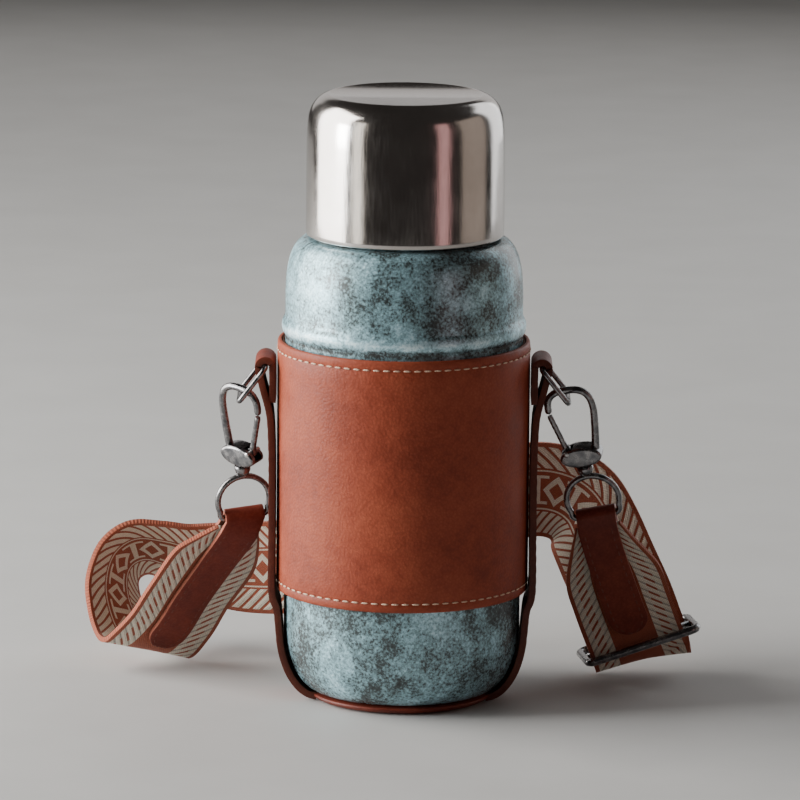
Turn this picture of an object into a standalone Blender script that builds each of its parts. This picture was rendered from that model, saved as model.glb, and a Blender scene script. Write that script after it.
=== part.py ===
"""Vacuum bottle with a cup lid, carried in a leather sleeve and sling on a webbing strap.

Lengths below are in millimetres, and MM turns them into Blender's metres.
The origin is on the bottle's axis, on the underside of the leather base; +Z is up
and -Y is the front.
"""
import math

import bmesh
import bpy
from mathutils import Matrix, Vector

MM = 0.001
SEAM = 0.3            # gap kept between neighbouring pieces

# Driving dimensions, mm
BODY_R = 38.4         # bottle body radius
RIB_R = 39.4          # raised ring above the sleeve
BASE_Z = 2.6          # underside of the steel bottle
ROUND_R = (11.4, 22.0)              # the body's rounded bottom edge
ROUND_CENTRE = (BODY_R - ROUND_R[0], BASE_Z + ROUND_R[1])
SHOULDER_Z = 151.4    # ledge that the cup stands over
NECK_R = 24.6
LIP_Z = 177.0
SHELL_WALL = 1.0
LINER_WALL = 0.8
CUP_R = 32.0
CUP_BOTTOM_Z = 152.3
CUP_TOP_Z = 198.0
THREAD_PITCH = 3.0
THREAD_DEPTH = 0.8
SLEEVE_BOTTOM_Z = 36.0
SLEEVE_TOP_Z = 118.0
SLEEVE_IN_R = 38.75
LINING_T = 0.5
SLEEVE_OUT_R = 40.9
SLING_T = 2.2         # sling leather
SLING_W = 20.0
SLING_LOOP_W = 16.4   # narrower where the ring hangs
BASE_DISC_R = 30.0
LOOP_BAR = (44.7, 109.6)   # distance from the axis and height of the ring's upper bar
RING_SPAN = 21.0      # along the bars, between wire centres
RING_WIRE_R = 0.9
HOOK_WIRE_R = 1.2
EYE_WIRE_R = 1.0
EYE_R = 8.6
EYE_AT = 38.0         # eye centre below the ring's lower bar, along the hook
EYE_BAR_AT = 44.2     # straight bar of the eye
WEB_W = 32.0          # webbing
WEB_T = 1.8
TAB_W = 13.0
TAB_T = 1.6
TAB_GAP = 0.45        # between the webbing and each leg of its tab

# Where each ring's lower bar hangs, the way each hook points down, the direction of
# the eye's straight bar, and the hook's own width direction.
SIDES = {
    "left": {
        "bar": (-53.0, 0.0, 98.7),
        "down": (0.03, 0.27, -0.962),
        "eye": (0.91, 0.25, 0.02),
        "wide": (0.79, -0.60, -0.14),
        "gate": 1,
    },
    "right": {
        "bar": (53.2, 0.0, 98.9),
        "down": (0.233, 0.265, -0.936),
        "eye": (0.95, -0.12, 0.20),
        "wide": (0.95, -0.20, 0.18),
        "gate": -1,
    },
}

# The strap's route from the left eye to the slider: centre x, y, z, then the
# direction across it and its width.
STRAP = [
    (-53.9, 14.4, 51.2, -0.88, -0.30, 0.10, 15),
    (-57.0, 16.9, 46.4, -0.83, -0.41, 0.22, 23),
    (-61.9, 20.8, 39.0, -0.76, -0.53, 0.36, 32),
    (-69.9, 25.6, 26.6, -0.76, -0.54, 0.36, 32),
    (-76.7, 31.0, 14.6, -0.80, -0.50, 0.33, 32),
    (-84.3, 36.0, 6.4, -0.86, -0.43, 0.26, 32),
    (-90.2, 44.6, 9.6, -0.75, -0.60, 0.28, 32),
    (-94.6, 51.5, 17.3, -0.60, -0.72, 0.35, 32),
    (-95.8, 57.2, 23.5, -0.48, -0.76, 0.44, 32),
    (-94.8, 61.2, 28.8, -0.38, -0.76, 0.52, 32),
    (-91.5, 63.9, 32.4, -0.30, -0.74, 0.60, 32),
    (-86.2, 65.7, 33.8, -0.22, -0.70, 0.68, 32),
    (-78.6, 65.9, 32.2, -0.15, -0.62, 0.77, 32),
    (-69.9, 65.0, 29.4, -0.10, -0.48, 0.87, 32),
    (-60.3, 62.4, 28.4, -0.05, -0.29, 0.95, 32),
    (-50.0, 59.5, 28.5, -0.02, -0.14, 0.99, 32),
    (-38.0, 56.5, 29.6, -0.07, -0.04, 0.99, 32),
    (-24.0, 53.0, 33.0, -0.17, 0.00, 0.98, 32),
    (-6.0, 49.5, 40.0, -0.24, 0.00, 0.97, 32),
    (12.0, 50.0, 47.5, -0.24, 0.00, 0.97, 32),
    (28.0, 53.0, 53.5, -0.15, 0.00, 0.99, 32),
    (42.0, 56.5, 56.5, -0.04, -0.03, 1.00, 32),
    (52.0, 57.5, 55.5, 0.08, -0.02, 0.99, 32),
    (59.5, 56.5, 51.0, 0.45, 0.02, 0.88, 32),
    (64.0, 52.5, 43.5, 0.76, 0.04, 0.64, 32),
    (68.8, 47.0, 33.5, 0.90, 0.00, 0.43, 32),
    (73.8, 41.2, 23.6, 0.95, 0.09, 0.27, 32),
    (77.3, 37.7, 15.2, 0.95, 0.18, 0.20, 32),
    (78.9, 36.5, 11.2, 0.95, 0.21, 0.18, 32),
]
STRAP_PIECES = {"strap_left_flap": (0, 5), "strap_left_loop": (5, 14),
                "strap_back_run": (14, 21), "strap_right_turn": (21, 28)}
# The stretch from the right eye, down through the slider and round its fold.
RIGHT_FLAP = [
    (63.9, 12.9, 53.8, 0.95, -0.12, 0.20, 15),
    (65.9, 15.2, 46.5, 0.96, -0.08, 0.20, 22),
    (69.0, 18.8, 36.5, 0.96, 0.00, 0.19, 31),
    (72.3, 22.4, 26.5, 0.96, 0.08, 0.18, 32),
    (75.8, 26.4, 16.5, 0.95, 0.18, 0.18, 32),
    (77.9, 29.2, 10.6, 0.95, 0.21, 0.18, 32),
    (79.1, 31.2, 6.9, 0.95, 0.21, 0.18, 32),
    (79.8, 33.0, 5.2, 0.95, 0.21, 0.18, 32),
    (80.2, 35.0, 5.4, 0.95, 0.21, 0.18, 32),
    (79.9, 36.2, 7.4, 0.95, 0.21, 0.18, 32),
    (79.3, 36.5, 9.9, 0.95, 0.21, 0.18, 32),
]
SLIDER_HALF = (18.9, 8.7)     # across the webbing, and through it
SLIDER_Z = 10.4
SLIDER_WIRE_R = 1.35

MATERIALS = {
    "patina_paint": ((0.32, 0.42, 0.46), 0.45, 0.55),
    "polished_steel": ((0.50, 0.48, 0.47), 0.16, 1.0),
    "brushed_steel": ((0.55, 0.55, 0.55), 0.32, 1.0),
    "black_nickel": ((0.17, 0.17, 0.18), 0.22, 1.0),
    "tan_leather": ((0.36, 0.12, 0.07), 0.55, 0.0),
    "leather_back": ((0.25, 0.09, 0.05), 0.75, 0.0),
    "webbing": ((0.42, 0.16, 0.08), 0.85, 0.0),
    "black_plastic": ((0.03, 0.03, 0.03), 0.45, 0.0),
    "silicone": ((0.75, 0.75, 0.72), 0.6, 0.0),
    "spring_steel": ((0.45, 0.45, 0.46), 0.3, 1.0),
}


def clear_scene():
    for obj in list(bpy.data.objects):
        bpy.data.objects.remove(obj, do_unlink=True)


def material(name):
    """A Principled material of that name, made once."""
    if name in bpy.data.materials:
        return bpy.data.materials[name]
    colour, roughness, metallic = MATERIALS[name]
    mat = bpy.data.materials.new(name)
    mat.use_nodes = True
    shader = mat.node_tree.nodes["Principled BSDF"]
    shader.inputs["Base Color"].default_value = (*colour, 1.0)
    shader.inputs["Roughness"].default_value = roughness
    shader.inputs["Metallic"].default_value = metallic
    return mat


def own_material(name, finish):
    """Each piece carries its own copy of its finish."""
    mat = material(finish).copy()
    mat.name = f"{name}_{finish}"
    return mat


def add_object(name, bm, finish, origin=(0, 0, 0)):
    """Turn a bmesh drawn in millimetres into an object whose origin is at origin."""
    bmesh.ops.recalc_face_normals(bm, faces=bm.faces)
    place = Vector(origin)
    bmesh.ops.translate(bm, verts=bm.verts, vec=-place)
    bmesh.ops.scale(bm, verts=bm.verts, vec=(MM, MM, MM))
    mesh = bpy.data.meshes.new(name)
    bm.to_mesh(mesh)
    bm.free()
    obj = bpy.data.objects.new(name, mesh)
    obj.location = place * MM
    bpy.context.scene.collection.objects.link(obj)
    if finish:
        mesh.materials.append(own_material(name, finish))
    return obj


def apply_boolean(target, tool, operation):
    """Add a Boolean to target; tool stays in the file as a hidden wire shape."""
    tool.hide_render = True
    tool.display_type = "WIRE"
    mod = target.modifiers.new(f"{operation.lower()}_{tool.name}", "BOOLEAN")
    mod.operation = operation
    mod.solver = "EXACT"
    mod.object = tool


def spun_mesh(profile, segments, closed):
    """A bmesh turned about the Z axis from points (radius, height)."""
    bm = bmesh.new()
    verts = [bm.verts.new((r, 0.0, z)) for r, z in profile]
    edges = [bm.edges.new(pair) for pair in zip(verts, verts[1:])]
    if closed:
        edges.append(bm.edges.new((verts[-1], verts[0])))
    bmesh.ops.spin(bm, geom=verts + edges, cent=(0, 0, 0), axis=(0, 0, 1),
                   angle=2 * math.pi, steps=segments, use_merge=True)
    bmesh.ops.remove_doubles(bm, verts=bm.verts, dist=1e-4)
    return bm


def spun(name, profile, finish, segments=64, closed=False):
    return add_object(name, spun_mesh(profile, segments, closed), finish)


def arc(centre, radii, start, end, steps):
    """Points of an ellipse arc about centre, from start to end degrees."""
    points = []
    for i in range(steps + 1):
        a = math.radians(start + (end - start) * i / steps)
        points.append((centre[0] + radii[0] * math.cos(a), centre[1] + radii[1] * math.sin(a)))
    return points


def wall_profile(outer, wall):
    """Close an open outline with a parallel one, wall thick, on its left side."""
    inner = []
    for i, (r, z) in enumerate(outer):
        before = outer[max(i - 1, 0)]
        after = outer[min(i + 1, len(outer) - 1)]
        run = Vector((after[0] - before[0], after[1] - before[1])).normalized()
        inner.append((r - run.y * wall, z + run.x * wall))
    return inner


def every_other(points):
    """A coarser copy for walls that stay out of sight, both ends kept."""
    return points[:-1:2] + points[-1:]


def thread_ridge(bm, radius, low, high, sign):
    """Push the wall at radius in or out along a helix between two heights."""
    fade = 1.2
    for v in bm.verts:
        r = math.hypot(v.co.x, v.co.y)
        if abs(r - radius) > 0.02 or not low <= v.co.z <= high:
            continue
        turn = math.atan2(v.co.y, v.co.x) / (2 * math.pi)
        wave = max(0.0, math.cos(2 * math.pi * (v.co.z / THREAD_PITCH - turn)))
        ends = min(1.0, (v.co.z - low) / fade, (high - v.co.z) / fade)
        push = 1.0 + sign * THREAD_DEPTH * wave * ends / r
        v.co.x *= push
        v.co.y *= push


def threaded_ring(name, plain_r, thread_r, low, high, finish):
    """A sleeve with a helical thread on the wall at thread_r."""
    rows = 12
    wall = [(thread_r, low + (high - low) * i / rows) for i in range(rows + 1)]
    profile = wall + [(plain_r, high), (plain_r, low)]
    bm = spun_mesh(profile, 36, True)
    thread_ridge(bm, thread_r, low, high, 1 if thread_r > plain_r else -1)
    return add_object(name, bm, finish)


def smooth(points, per_span):
    """Catmull-Rom samples through rows of numbers, ends included."""
    rows = [Vector(p) for p in points]
    out = []
    for i in range(len(rows) - 1):
        p0 = rows[max(i - 1, 0)]
        p1, p2 = rows[i], rows[i + 1]
        p3 = rows[min(i + 2, len(rows) - 1)]
        for k in range(per_span):
            t = k / per_span
            out.append(0.5 * (2 * p1 + (p2 - p0) * t + (2 * p0 - 5 * p1 + 4 * p2 - p3) * t ** 2
                              + (3 * p1 - p0 - 3 * p2 + p3) * t ** 3))
    out.append(rows[-1])
    return out


def strip_frames(stations, per_span):
    """Centre, across, normal and width along a strip; the normal leans to the front."""
    rows = smooth(stations, per_span)
    frames = []
    for i, row in enumerate(rows):
        ahead = rows[min(i + 1, len(rows) - 1)]
        behind = rows[max(i - 1, 0)]
        run = Vector(ahead[:3]) - Vector(behind[:3])
        across = Vector(row[3:6]).normalized()
        across = (across - run.normalized() * across.dot(run.normalized()) * 0.5).normalized()
        frames.append((Vector(row[:3]), across, across.cross(run).normalized(), row[6]))
    return frames


def loft(sections, cyclic=False):
    """Join sections of equal point count into one closed body."""
    bm = bmesh.new()
    rings = [[bm.verts.new(p) for p in section] for section in sections]
    pairs = list(zip(rings, rings[1:]))
    if cyclic:
        pairs.append((rings[-1], rings[0]))
    for a, b in pairs:
        for i in range(len(a)):
            j = (i + 1) % len(a)
            bm.faces.new((a[i], a[j], b[j], b[i]))
    if not cyclic:
        bm.faces.new(rings[0][::-1])
        bm.faces.new(rings[-1])
    return bm


def strip(name, frames, thickness, finish):
    """A closed strip of rectangular section along frames."""
    sections = []
    for centre, across, normal, width in frames:
        a = across * width / 2
        n = normal * thickness / 2
        sections.append([centre - a - n, centre + a - n, centre + a + n, centre - a + n])
    return add_object(name, loft(sections), finish)


def offset(frames, distance, width):
    """The same strip moved along its normals, with a width of its own."""
    return [(centre + normal * distance, across, normal, width)
            for centre, across, normal, _ in frames]


def wire(name, points, radius, finish, sides=10, cyclic=False, origin=(0, 0, 0)):
    """Round wire along points, with a parallel-transported section."""
    path = [Vector(p) for p in points]
    count = len(path)
    sections = []
    side = None
    for i, point in enumerate(path):
        ahead = path[(i + 1) % count] if cyclic else path[min(i + 1, count - 1)]
        behind = path[i - 1] if cyclic or i else path[0]
        run = (ahead - behind).normalized()
        if side is None:
            side = run.orthogonal().normalized()
        side = (side - run * side.dot(run)).normalized()
        up = run.cross(side)
        ring = []
        for k in range(sides):
            a = 2 * math.pi * k / sides
            ring.append(point + (side * math.cos(a) + up * math.sin(a)) * radius)
        sections.append(ring)
    return add_object(name, loft(sections, cyclic), finish, origin)


def rounded_loop(half_u, half_v, corner, steps=5):
    """Points of a rectangle with round corners, in its own plane."""
    points = []
    for su, sv, start in ((1, 1, 0), (-1, 1, 90), (-1, -1, 180), (1, -1, 270)):
        centre = (su * (half_u - corner), sv * (half_v - corner))
        points += arc(centre, (corner, corner), start, start + 90, steps)
    return points


# ---------------------------------------------------------------- steel bottle

def make_bottle():
    outer = [(ROUND_CENTRE[0], BASE_Z)]
    outer += arc(ROUND_CENTRE, ROUND_R, -80, 0, 8)
    outer += [(BODY_R, 119.6), (RIB_R, 120.8), (RIB_R + 0.1, 122.6), (RIB_R, 124.4)]
    outer += [(BODY_R + 0.1, 125.8), (BODY_R, 135.0), (38.0, 140.0), (37.2, 144.0)]
    outer += [(36.4, 147.0), (34.9, 149.4), (32.6, 151.0), (30.8, SHOULDER_Z)]
    outer += [(NECK_R + 0.6, SHOULDER_Z), (NECK_R, SHOULDER_Z + 0.8)]
    outer += [(NECK_R, LIP_Z - 0.6), (NECK_R - 0.5, LIP_Z)]
    inner = wall_profile(outer, SHELL_WALL)
    inner = every_other(inner[:9]) + inner[9:]
    spun("bottle_shell", outer + inner[::-1], "patina_paint", 46, closed=True)

    liner_r = 35.6
    liner_neck = NECK_R - SHELL_WALL - SEAM - 0.15
    outer = [(0.0, 9.0), (20.0, 9.0)]
    outer += arc((20.0, 24.0), (liner_r - 20.0, 15.0), -80, 0, 6)
    outer += [(liner_r, 138.0), (34.6, 143.0), (32.0, 147.0), (28.0, 149.2)]
    outer += [(liner_neck + 0.8, 149.9), (liner_neck, 151.0), (liner_neck, LIP_Z - 0.3)]
    inner = wall_profile(outer, LINER_WALL)
    inner[0] = (0.0, inner[0][1])
    spun("bottle_liner", outer + inner[::-1], "brushed_steel", 32)

    cap = [(0.0, BASE_Z + 1.4), (20.0, BASE_Z + 1.4), (22.0, BASE_Z + 0.7)]
    cap += [(26.6, BASE_Z + 0.7), (26.6, BASE_Z + 1.6), (22.4, BASE_Z + 1.6)]
    cap += [(20.4, BASE_Z + 2.3), (0.0, BASE_Z + 2.3)]
    spun("bottle_base_cap", cap, "brushed_steel", 40)

    threaded_ring("neck_collar", NECK_R + SEAM, NECK_R + 0.8, 154.5, 166.0, "brushed_steel")


# ------------------------------------------------------------------- stopper

def make_stopper():
    rows = 13
    low, high = 163.4, 176.6
    thread = [(20.9, low + (high - low) * i / rows) for i in range(rows + 1)]
    profile = [(2.4, 160.0), (16.9, 160.0), (16.9, 163.1), (20.9, 163.1)] + thread
    profile += [(20.9, 177.4), (24.3, 177.5), (24.6, 178.2), (24.4, 179.6), (19.6, 180.4)]
    profile += [(19.2, 182.0), (19.0, 187.0), (18.0, 187.9), (10.2, 187.9), (9.4, 187.2)]
    profile += [(9.4, 176.0), (2.4, 176.0)]
    bm = spun_mesh(profile, 36, True)
    thread_ridge(bm, 20.9, low, high, 1)
    grip_ribs(bm)
    add_object("stopper_body", bm, "black_plastic")

    gasket = [(17.2, 160.2), (21.4, 160.2), (22.1, 161.5), (21.4, 162.8), (17.2, 162.8)]
    spun("stopper_gasket", gasket, "silicone", 32, closed=True)

    button = [(0.0, 184.6), (5.4, 184.6), (5.4, 180.4), (8.4, 180.4), (9.0, 181.4)]
    button += [(9.0, 187.6), (8.2, 188.5), (0.0, 188.9)]
    spun("pour_button", button, "black_plastic", 28)
    valve = [(0.0, 156.4), (11.0, 156.4), (12.0, 157.2), (12.0, 158.5), (2.0, 158.5)]
    valve += [(2.0, 184.2), (0.0, 184.2)]
    spun("pour_valve", valve, "black_plastic", 24)
    seal = [(3.0, 158.8), (11.4, 158.8), (11.4, 159.7), (3.0, 159.7)]
    spun("valve_seal", seal, "silicone", 24, closed=True)
    turns = 5
    steps = 12
    coil = []
    for i in range(turns * steps + 1):
        a = 2 * math.pi * i / steps
        rise = i / (turns * steps)
        coil.append((3.9 * math.cos(a), 3.9 * math.sin(a), 176.9 + 6.7 * rise))
    wire("button_spring", coil, 0.4, "spring_steel", 5)


def grip_ribs(bm):
    """Shallow finger ribs round the stopper's knob."""
    for v in bm.verts:
        r = math.hypot(v.co.x, v.co.y)
        if 18.9 < r < 19.3 and 181.0 < v.co.z < 187.5:
            push = 1.0 - 0.5 * (round(math.atan2(v.co.y, v.co.x) / (2 * math.pi) * 36) % 2) / r
            v.co.x *= push
            v.co.y *= push


# ----------------------------------------------------------------------- cup

def make_cup():
    outer = [(CUP_R - 0.7, CUP_BOTTOM_Z), (CUP_R - 0.1, CUP_BOTTOM_Z + 0.7)]
    outer += [(CUP_R, 156.0), (CUP_R - 0.1, 184.0), (CUP_R - 0.5, 190.0)]
    outer += arc((25.0, 190.4), (6.2, 7.4), 12, 82, 7)
    outer += [(24.4, CUP_TOP_Z), (0.0, CUP_TOP_Z)]
    inner = wall_profile(outer, 0.9)
    inner[-1] = (0.0, CUP_TOP_Z - 0.9)
    spun("cup_shell", outer[::-1] + inner, "polished_steel", 52)

    outer = [(30.2, CUP_BOTTOM_Z + 1.1), (30.1, 160.0), (30.0, 186.0), (28.6, 191.6)]
    outer += [(24.0, 194.9), (20.0, 195.5), (0.0, 195.5)]
    inner = wall_profile(outer, 0.8)
    inner[-1] = (0.0, 194.7)
    spun("cup_liner", outer[::-1] + inner, "brushed_steel", 40)

    threaded_ring("cup_thread_ring", 28.9, 27.3, 154.0, 165.5, "black_plastic")
    seal = [(26.6, 151.8), (28.6, 151.8), (28.6, 153.2), (27.3, 153.6), (26.6, 153.2)]
    spun("cup_seal", seal, "silicone", 40, closed=True)


# ------------------------------------------------------------ sleeve and sling

def make_sleeve():
    lining_r = SLEEVE_IN_R + LINING_T
    lining = [(SLEEVE_IN_R, SLEEVE_BOTTOM_Z + 0.4), (lining_r, SLEEVE_BOTTOM_Z + 0.4)]
    lining += [(lining_r, SLEEVE_TOP_Z - 0.4), (SLEEVE_IN_R, SLEEVE_TOP_Z - 0.4)]
    spun("sleeve_lining", lining, "leather_back", 56, closed=True)
    r_in = lining_r + SEAM
    rings = 4
    outer = []
    for i in range(rings + 1):
        z = SLEEVE_BOTTOM_Z + 0.4 + (SLEEVE_TOP_Z - SLEEVE_BOTTOM_Z - 0.8) * i / rings
        outer.append((SLEEVE_OUT_R - 0.25 * (1 - i / rings), z))
    profile = [(r_in, SLEEVE_TOP_Z), (r_in, SLEEVE_BOTTOM_Z), (SLEEVE_OUT_R - 0.6, SLEEVE_BOTTOM_Z)]
    profile += outer + [(SLEEVE_OUT_R - 0.35, SLEEVE_TOP_Z)]
    spun("sleeve_panel", profile, "tan_leather", 56, closed=True)

    seam_r = SLEEVE_OUT_R + SEAM
    half = math.degrees(8.0 / seam_r)
    sections = []
    for z in (SLEEVE_BOTTOM_Z + 0.6, 77.0, SLEEVE_TOP_Z - 0.6):
        inside = arc((0, 0), (seam_r, seam_r), 90 - half, 90 + half, 6)
        outside = arc((0, 0), (seam_r + 1.3, seam_r + 1.3), 90 + half, 90 - half, 6)
        sections.append([(x, y, z) for x, y in inside + outside])
    add_object("rear_seam_strip", loft(sections), "tan_leather")


def sling_side(sign):
    """Centre, across, normal and width of the sling's leather on one side."""
    t = SLING_T
    wall_r = SLEEVE_OUT_R + SEAM + t / 2
    bar_r, bar_z = LOOP_BAR
    bend = RING_WIRE_R + SEAM + t / 2
    clear = SEAM + t / 2 + 0.05
    path = arc(ROUND_CENTRE, (ROUND_R[0] + clear, ROUND_R[1] + clear), -72, -6, 8)
    path += [(40.6, 30.0), (wall_r, 36.0), (wall_r, 55.0), (wall_r, 72.0)]
    path += [(wall_r + 0.2, 84.0), (wall_r + 0.9, 94.0), (bar_r + 0.7, 102.5)]
    path += arc((bar_r, bar_z), (bend, bend), -18, 176, 8)
    path += [(wall_r, 104.5), (wall_r, 100.0), (wall_r, 98.0)]
    rows = [(sign * r, 0.0, z, sling_width(i, len(path))) for i, (r, z) in enumerate(path)]
    frames = []
    for i, row in enumerate(rows):
        run = Vector(rows[min(i + 1, len(rows) - 1)][:3]) - Vector(rows[max(i - 1, 0)][:3])
        across = Vector((0, 1, 0))
        frames.append((Vector(row[:3]), across, across.cross(run).normalized(), row[3]))
    return frames


def sling_width(index, count):
    """Full width below, narrower round the ring."""
    share = max(0.0, min(1.0, (index - 11) / 4))
    return SLING_W + (SLING_LOOP_W - SLING_W) * share


def make_sling():
    disc = [(0.0, 0.0), (BASE_DISC_R - 0.4, 0.0), (BASE_DISC_R, 0.5)]
    disc += [(BASE_DISC_R, SLING_T - 0.4), (BASE_DISC_R - 0.4, SLING_T), (0.0, SLING_T)]
    spun("base_disc", disc, "tan_leather", 48)


def make_straps_of_sling():
    for side, sign in (("left", -1), ("right", 1)):
        strip(f"{side}_side_strap", sling_side(sign), SLING_T, "tan_leather")


# ------------------------------------------------------------ rings and hooks

def side_frame(side):
    """Ring bar centre, down axis, and the across and depth axes of the hook."""
    data = SIDES[side]
    down = Vector(data["down"]).normalized()
    wide = Vector(data["wide"])
    wide = (wide - down * wide.dot(down)).normalized()
    return Vector(data["bar"]), down, wide, down.cross(wide)


def make_ring(side, sign):
    bar_r, bar_z = LOOP_BAR
    top = Vector((sign * bar_r, 0, bar_z))
    low = Vector(SIDES[side]["bar"])
    middle = (top + low) / 2
    v_axis = (top - low).normalized()
    loop = rounded_loop(RING_SPAN / 2, (top - low).length / 2, 1.7)
    points = [middle + Vector((0, 1, 0)) * u + v_axis * v for u, v in loop]
    wire(f"{side}_ring", points, RING_WIRE_R, "black_nickel", 8, True, tuple(top))


def make_hook(side):
    bar, down, wide, depth = side_frame(side)
    gate_side = SIDES[side]["gate"]

    def place(h, v, n=0.0):
        return bar + wide * (-gate_side * h) - down * v + depth * n

    spine = [(5.0, -19.5), (6.0, -14.5), (6.9, -9.0), (7.4, -4.5), (7.0, -1.0), (5.6, 1.3)]
    spine += [(3.2, 2.5), (0.0, 2.8), (-3.2, 2.5), (-5.6, 1.2), (-7.0, -1.2), (-7.4, -4.0)]
    path = [place(p.x, p.y) for p in smooth([(h, v, 0) for h, v in spine], 2)]
    frame = wire(f"{side}_hook_frame", path, HOOK_WIRE_R, "black_nickel", 10)

    block = []
    for n, shrink in ((-3.1, 0.82), (-2.5, 1.0), (2.5, 1.0), (3.1, 0.82)):
        outline = arc((0, -21.2), (6.9 * shrink, 3.5 * shrink), 0, 340, 17)
        block.append([place(h, v, n) for h, v in outline])
    body = add_object(f"{side}_hook_block_form", loft(block), None)
    apply_boolean(frame, body, "UNION")

    slot = box_between(f"{side}_gate_slot_form", place, (-8.2, -2.2), (-21.3, -14.0), 1.55)
    apply_boolean(frame, slot, "DIFFERENCE")
    pivot = place(-4.4, -19.3)
    reach = 5.0
    hole = wire(f"{side}_pin_hole_form", [pivot - depth * reach, pivot + depth * reach], 0.95, None)
    apply_boolean(frame, hole, "DIFFERENCE")
    bore = lathe_between(f"{side}_swivel_bore_form", place,
                         [(0, -20.9), (2.9, -20.9), (2.9, -22.5), (2.1, -22.5), (2.1, -27), (0, -27)])
    apply_boolean(frame, bore, "DIFFERENCE")

    wire(f"{side}_gate_pin", [pivot - depth * 2.9, pivot + depth * 2.9], 0.6, "brushed_steel", 10)
    nose = Vector((-7.3, -5.6))
    heel = Vector((-4.4, -19.3))
    lean = (nose - heel).normalized()
    square = Vector((lean.y, -lean.x))
    sections = []
    for along, half in ((-1.4, 0.7), (-0.9, 1.15), (1.2, 1.2), (4.0, 1.0), (13.6, 0.95)):
        centre = heel + lean * along
        ring = []
        for h, n in ((half, 0.75), (half * 0.7, 1.1), (-half * 0.7, 1.1), (-half, 0.75),
                     (-half, -0.75), (-half * 0.7, -1.1), (half * 0.7, -1.1), (half, -0.75)):
            spot = centre + square * h
            ring.append(place(spot.x, spot.y, n))
        sections.append(ring)
    gate = add_object(f"{side}_gate", loft(sections), "black_nickel", tuple(pivot))
    eyelet = wire(f"{side}_gate_eye_form", [pivot - depth * reach, pivot + depth * reach], 0.9, None)
    apply_boolean(gate, eyelet, "DIFFERENCE")

    stem = lathe_between(f"{side}_swivel_eye", place,
                         [(0, -21.3), (2.4, -21.3), (2.4, -22.15), (1.7, -22.3), (1.7, -25.1),
                          (2.6, -25.5), (2.6, -27.0), (1.9, -28.6), (0, -29.2)], "black_nickel")
    make_eye(side, stem, bar, down)


def box_between(name, place, h_range, v_range, half_n):
    """A cutter box in a hook's own plane."""
    sections = []
    for n in (-half_n, half_n):
        corners = [(h_range[0], v_range[0]), (h_range[1], v_range[0]),
                   (h_range[1], v_range[1]), (h_range[0], v_range[1])]
        sections.append([place(h, v, n) for h, v in corners])
    return add_object(name, loft(sections), None)


def lathe_between(name, place, profile, finish=None):
    """A turned solid about a hook's long axis, from points (radius, height)."""
    bm = spun_mesh([(r, v) for r, v in profile], 20, False)
    origin = place(0, 0)
    x_axis = place(1, 0) - origin
    z_axis = place(0, 1) - origin
    y_axis = z_axis.cross(x_axis)
    turn = Matrix((x_axis, y_axis, z_axis)).transposed()
    for v in bm.verts:
        v.co = origin + turn @ v.co
    return add_object(name, bm, finish)


def make_eye(side, stem, bar, down):
    """The D-shaped eye below the swivel, its straight bar held by the leather tab."""
    across = Vector(SIDES[side]["eye"])
    across = (across - down * across.dot(down)).normalized()
    centre = bar + down * EYE_AT
    drop = EYE_BAR_AT - EYE_AT
    start = -math.degrees(math.asin(3.2 / EYE_R))
    outline = arc((0, 0), (EYE_R, EYE_R), start, 180 - start, 20)
    outline += arc((-EYE_R + 2.6, -drop + 2.0), (2.0, 2.0), 200, 270, 3)
    outline += arc((EYE_R - 2.6, -drop + 2.0), (2.0, 2.0), 270, 340, 3)
    points = [centre + across * u - down * v for u, v in outline]
    loop = wire(f"{side}_eye_form", points, EYE_WIRE_R, None, 8, True)
    apply_boolean(stem, loop, "UNION")


# -------------------------------------------------- leather tabs and webbing

def make_tab(side, flap, front_sign, front_len, back_len):
    """Leather folded round the eye's bar, one leg on each face of the webbing.

    front_sign tells which way along the flap's normal the front is.
    """
    bar, down, _, _ = side_frame(side)
    across = Vector(SIDES[side]["eye"])
    across = (across - down * across.dot(down)).normalized()
    centre = bar + down * EYE_BAR_AT
    gap = WEB_T / 2 + TAB_GAP + TAB_T / 2
    frames = [(c, x, n * front_sign, w) for c, x, n, w in strip_frames(flap, 4)]
    if across.dot(frames[0][1]) < 0:
        across = -across
    front = leg(frames, gap, front_len)
    back = leg(frames, -gap, back_len)
    normal = front[0][2]
    fold = []
    steps = 6
    for i in range(1, steps):
        a = math.pi * i / steps
        out = normal * math.cos(a) - down * math.sin(a)
        fold.append((centre + out * gap, across, out, TAB_W))
    flipped = [(c, x, -n, w) for c, x, n, w in back]
    strip(f"{side}_tab", front[::-1] + fold + flipped, TAB_T, "tan_leather")


def leg(frames, distance, length):
    """The first stretch of a strip, moved off its face, with a rounded end."""
    moved = offset(frames, distance, TAB_W)
    kept = [moved[0]]
    run = 0.0
    for before, after in zip(moved, moved[1:]):
        run += (after[0] - before[0]).length
        if run > length:
            break
        kept.append(after)
    for back_by, share in ((1, 0.45), (2, 0.85)):
        centre, across, normal, width = kept[-back_by]
        kept[-back_by] = (centre, across, normal, width * share)
    return kept


def pull_in(frames, amount):
    """The same strip with each end drawn back a little, so that neighbours stay apart."""
    out = list(frames)
    for end, inside in ((0, 1), (-1, -2)):
        a, b = frames[end], frames[inside]
        share = amount / (b[0] - a[0]).length
        out[end] = tuple(x + (y - x) * share for x, y in zip(a, b))
    return out


def make_webbing():
    per_span = 4
    frames = strip_frames(STRAP, per_span)
    for name, (start, end) in STRAP_PIECES.items():
        piece = frames[start * per_span:end * per_span + 1]
        strip(name, pull_in(piece, SEAM / 2 + 0.05), WEB_T, "webbing")
    strip("strap_right_flap", strip_frames(RIGHT_FLAP, per_span), WEB_T, "webbing")


def nearest_at_height(frames, z):
    return min(frames, key=lambda f: abs(f[0].z - z))


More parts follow.
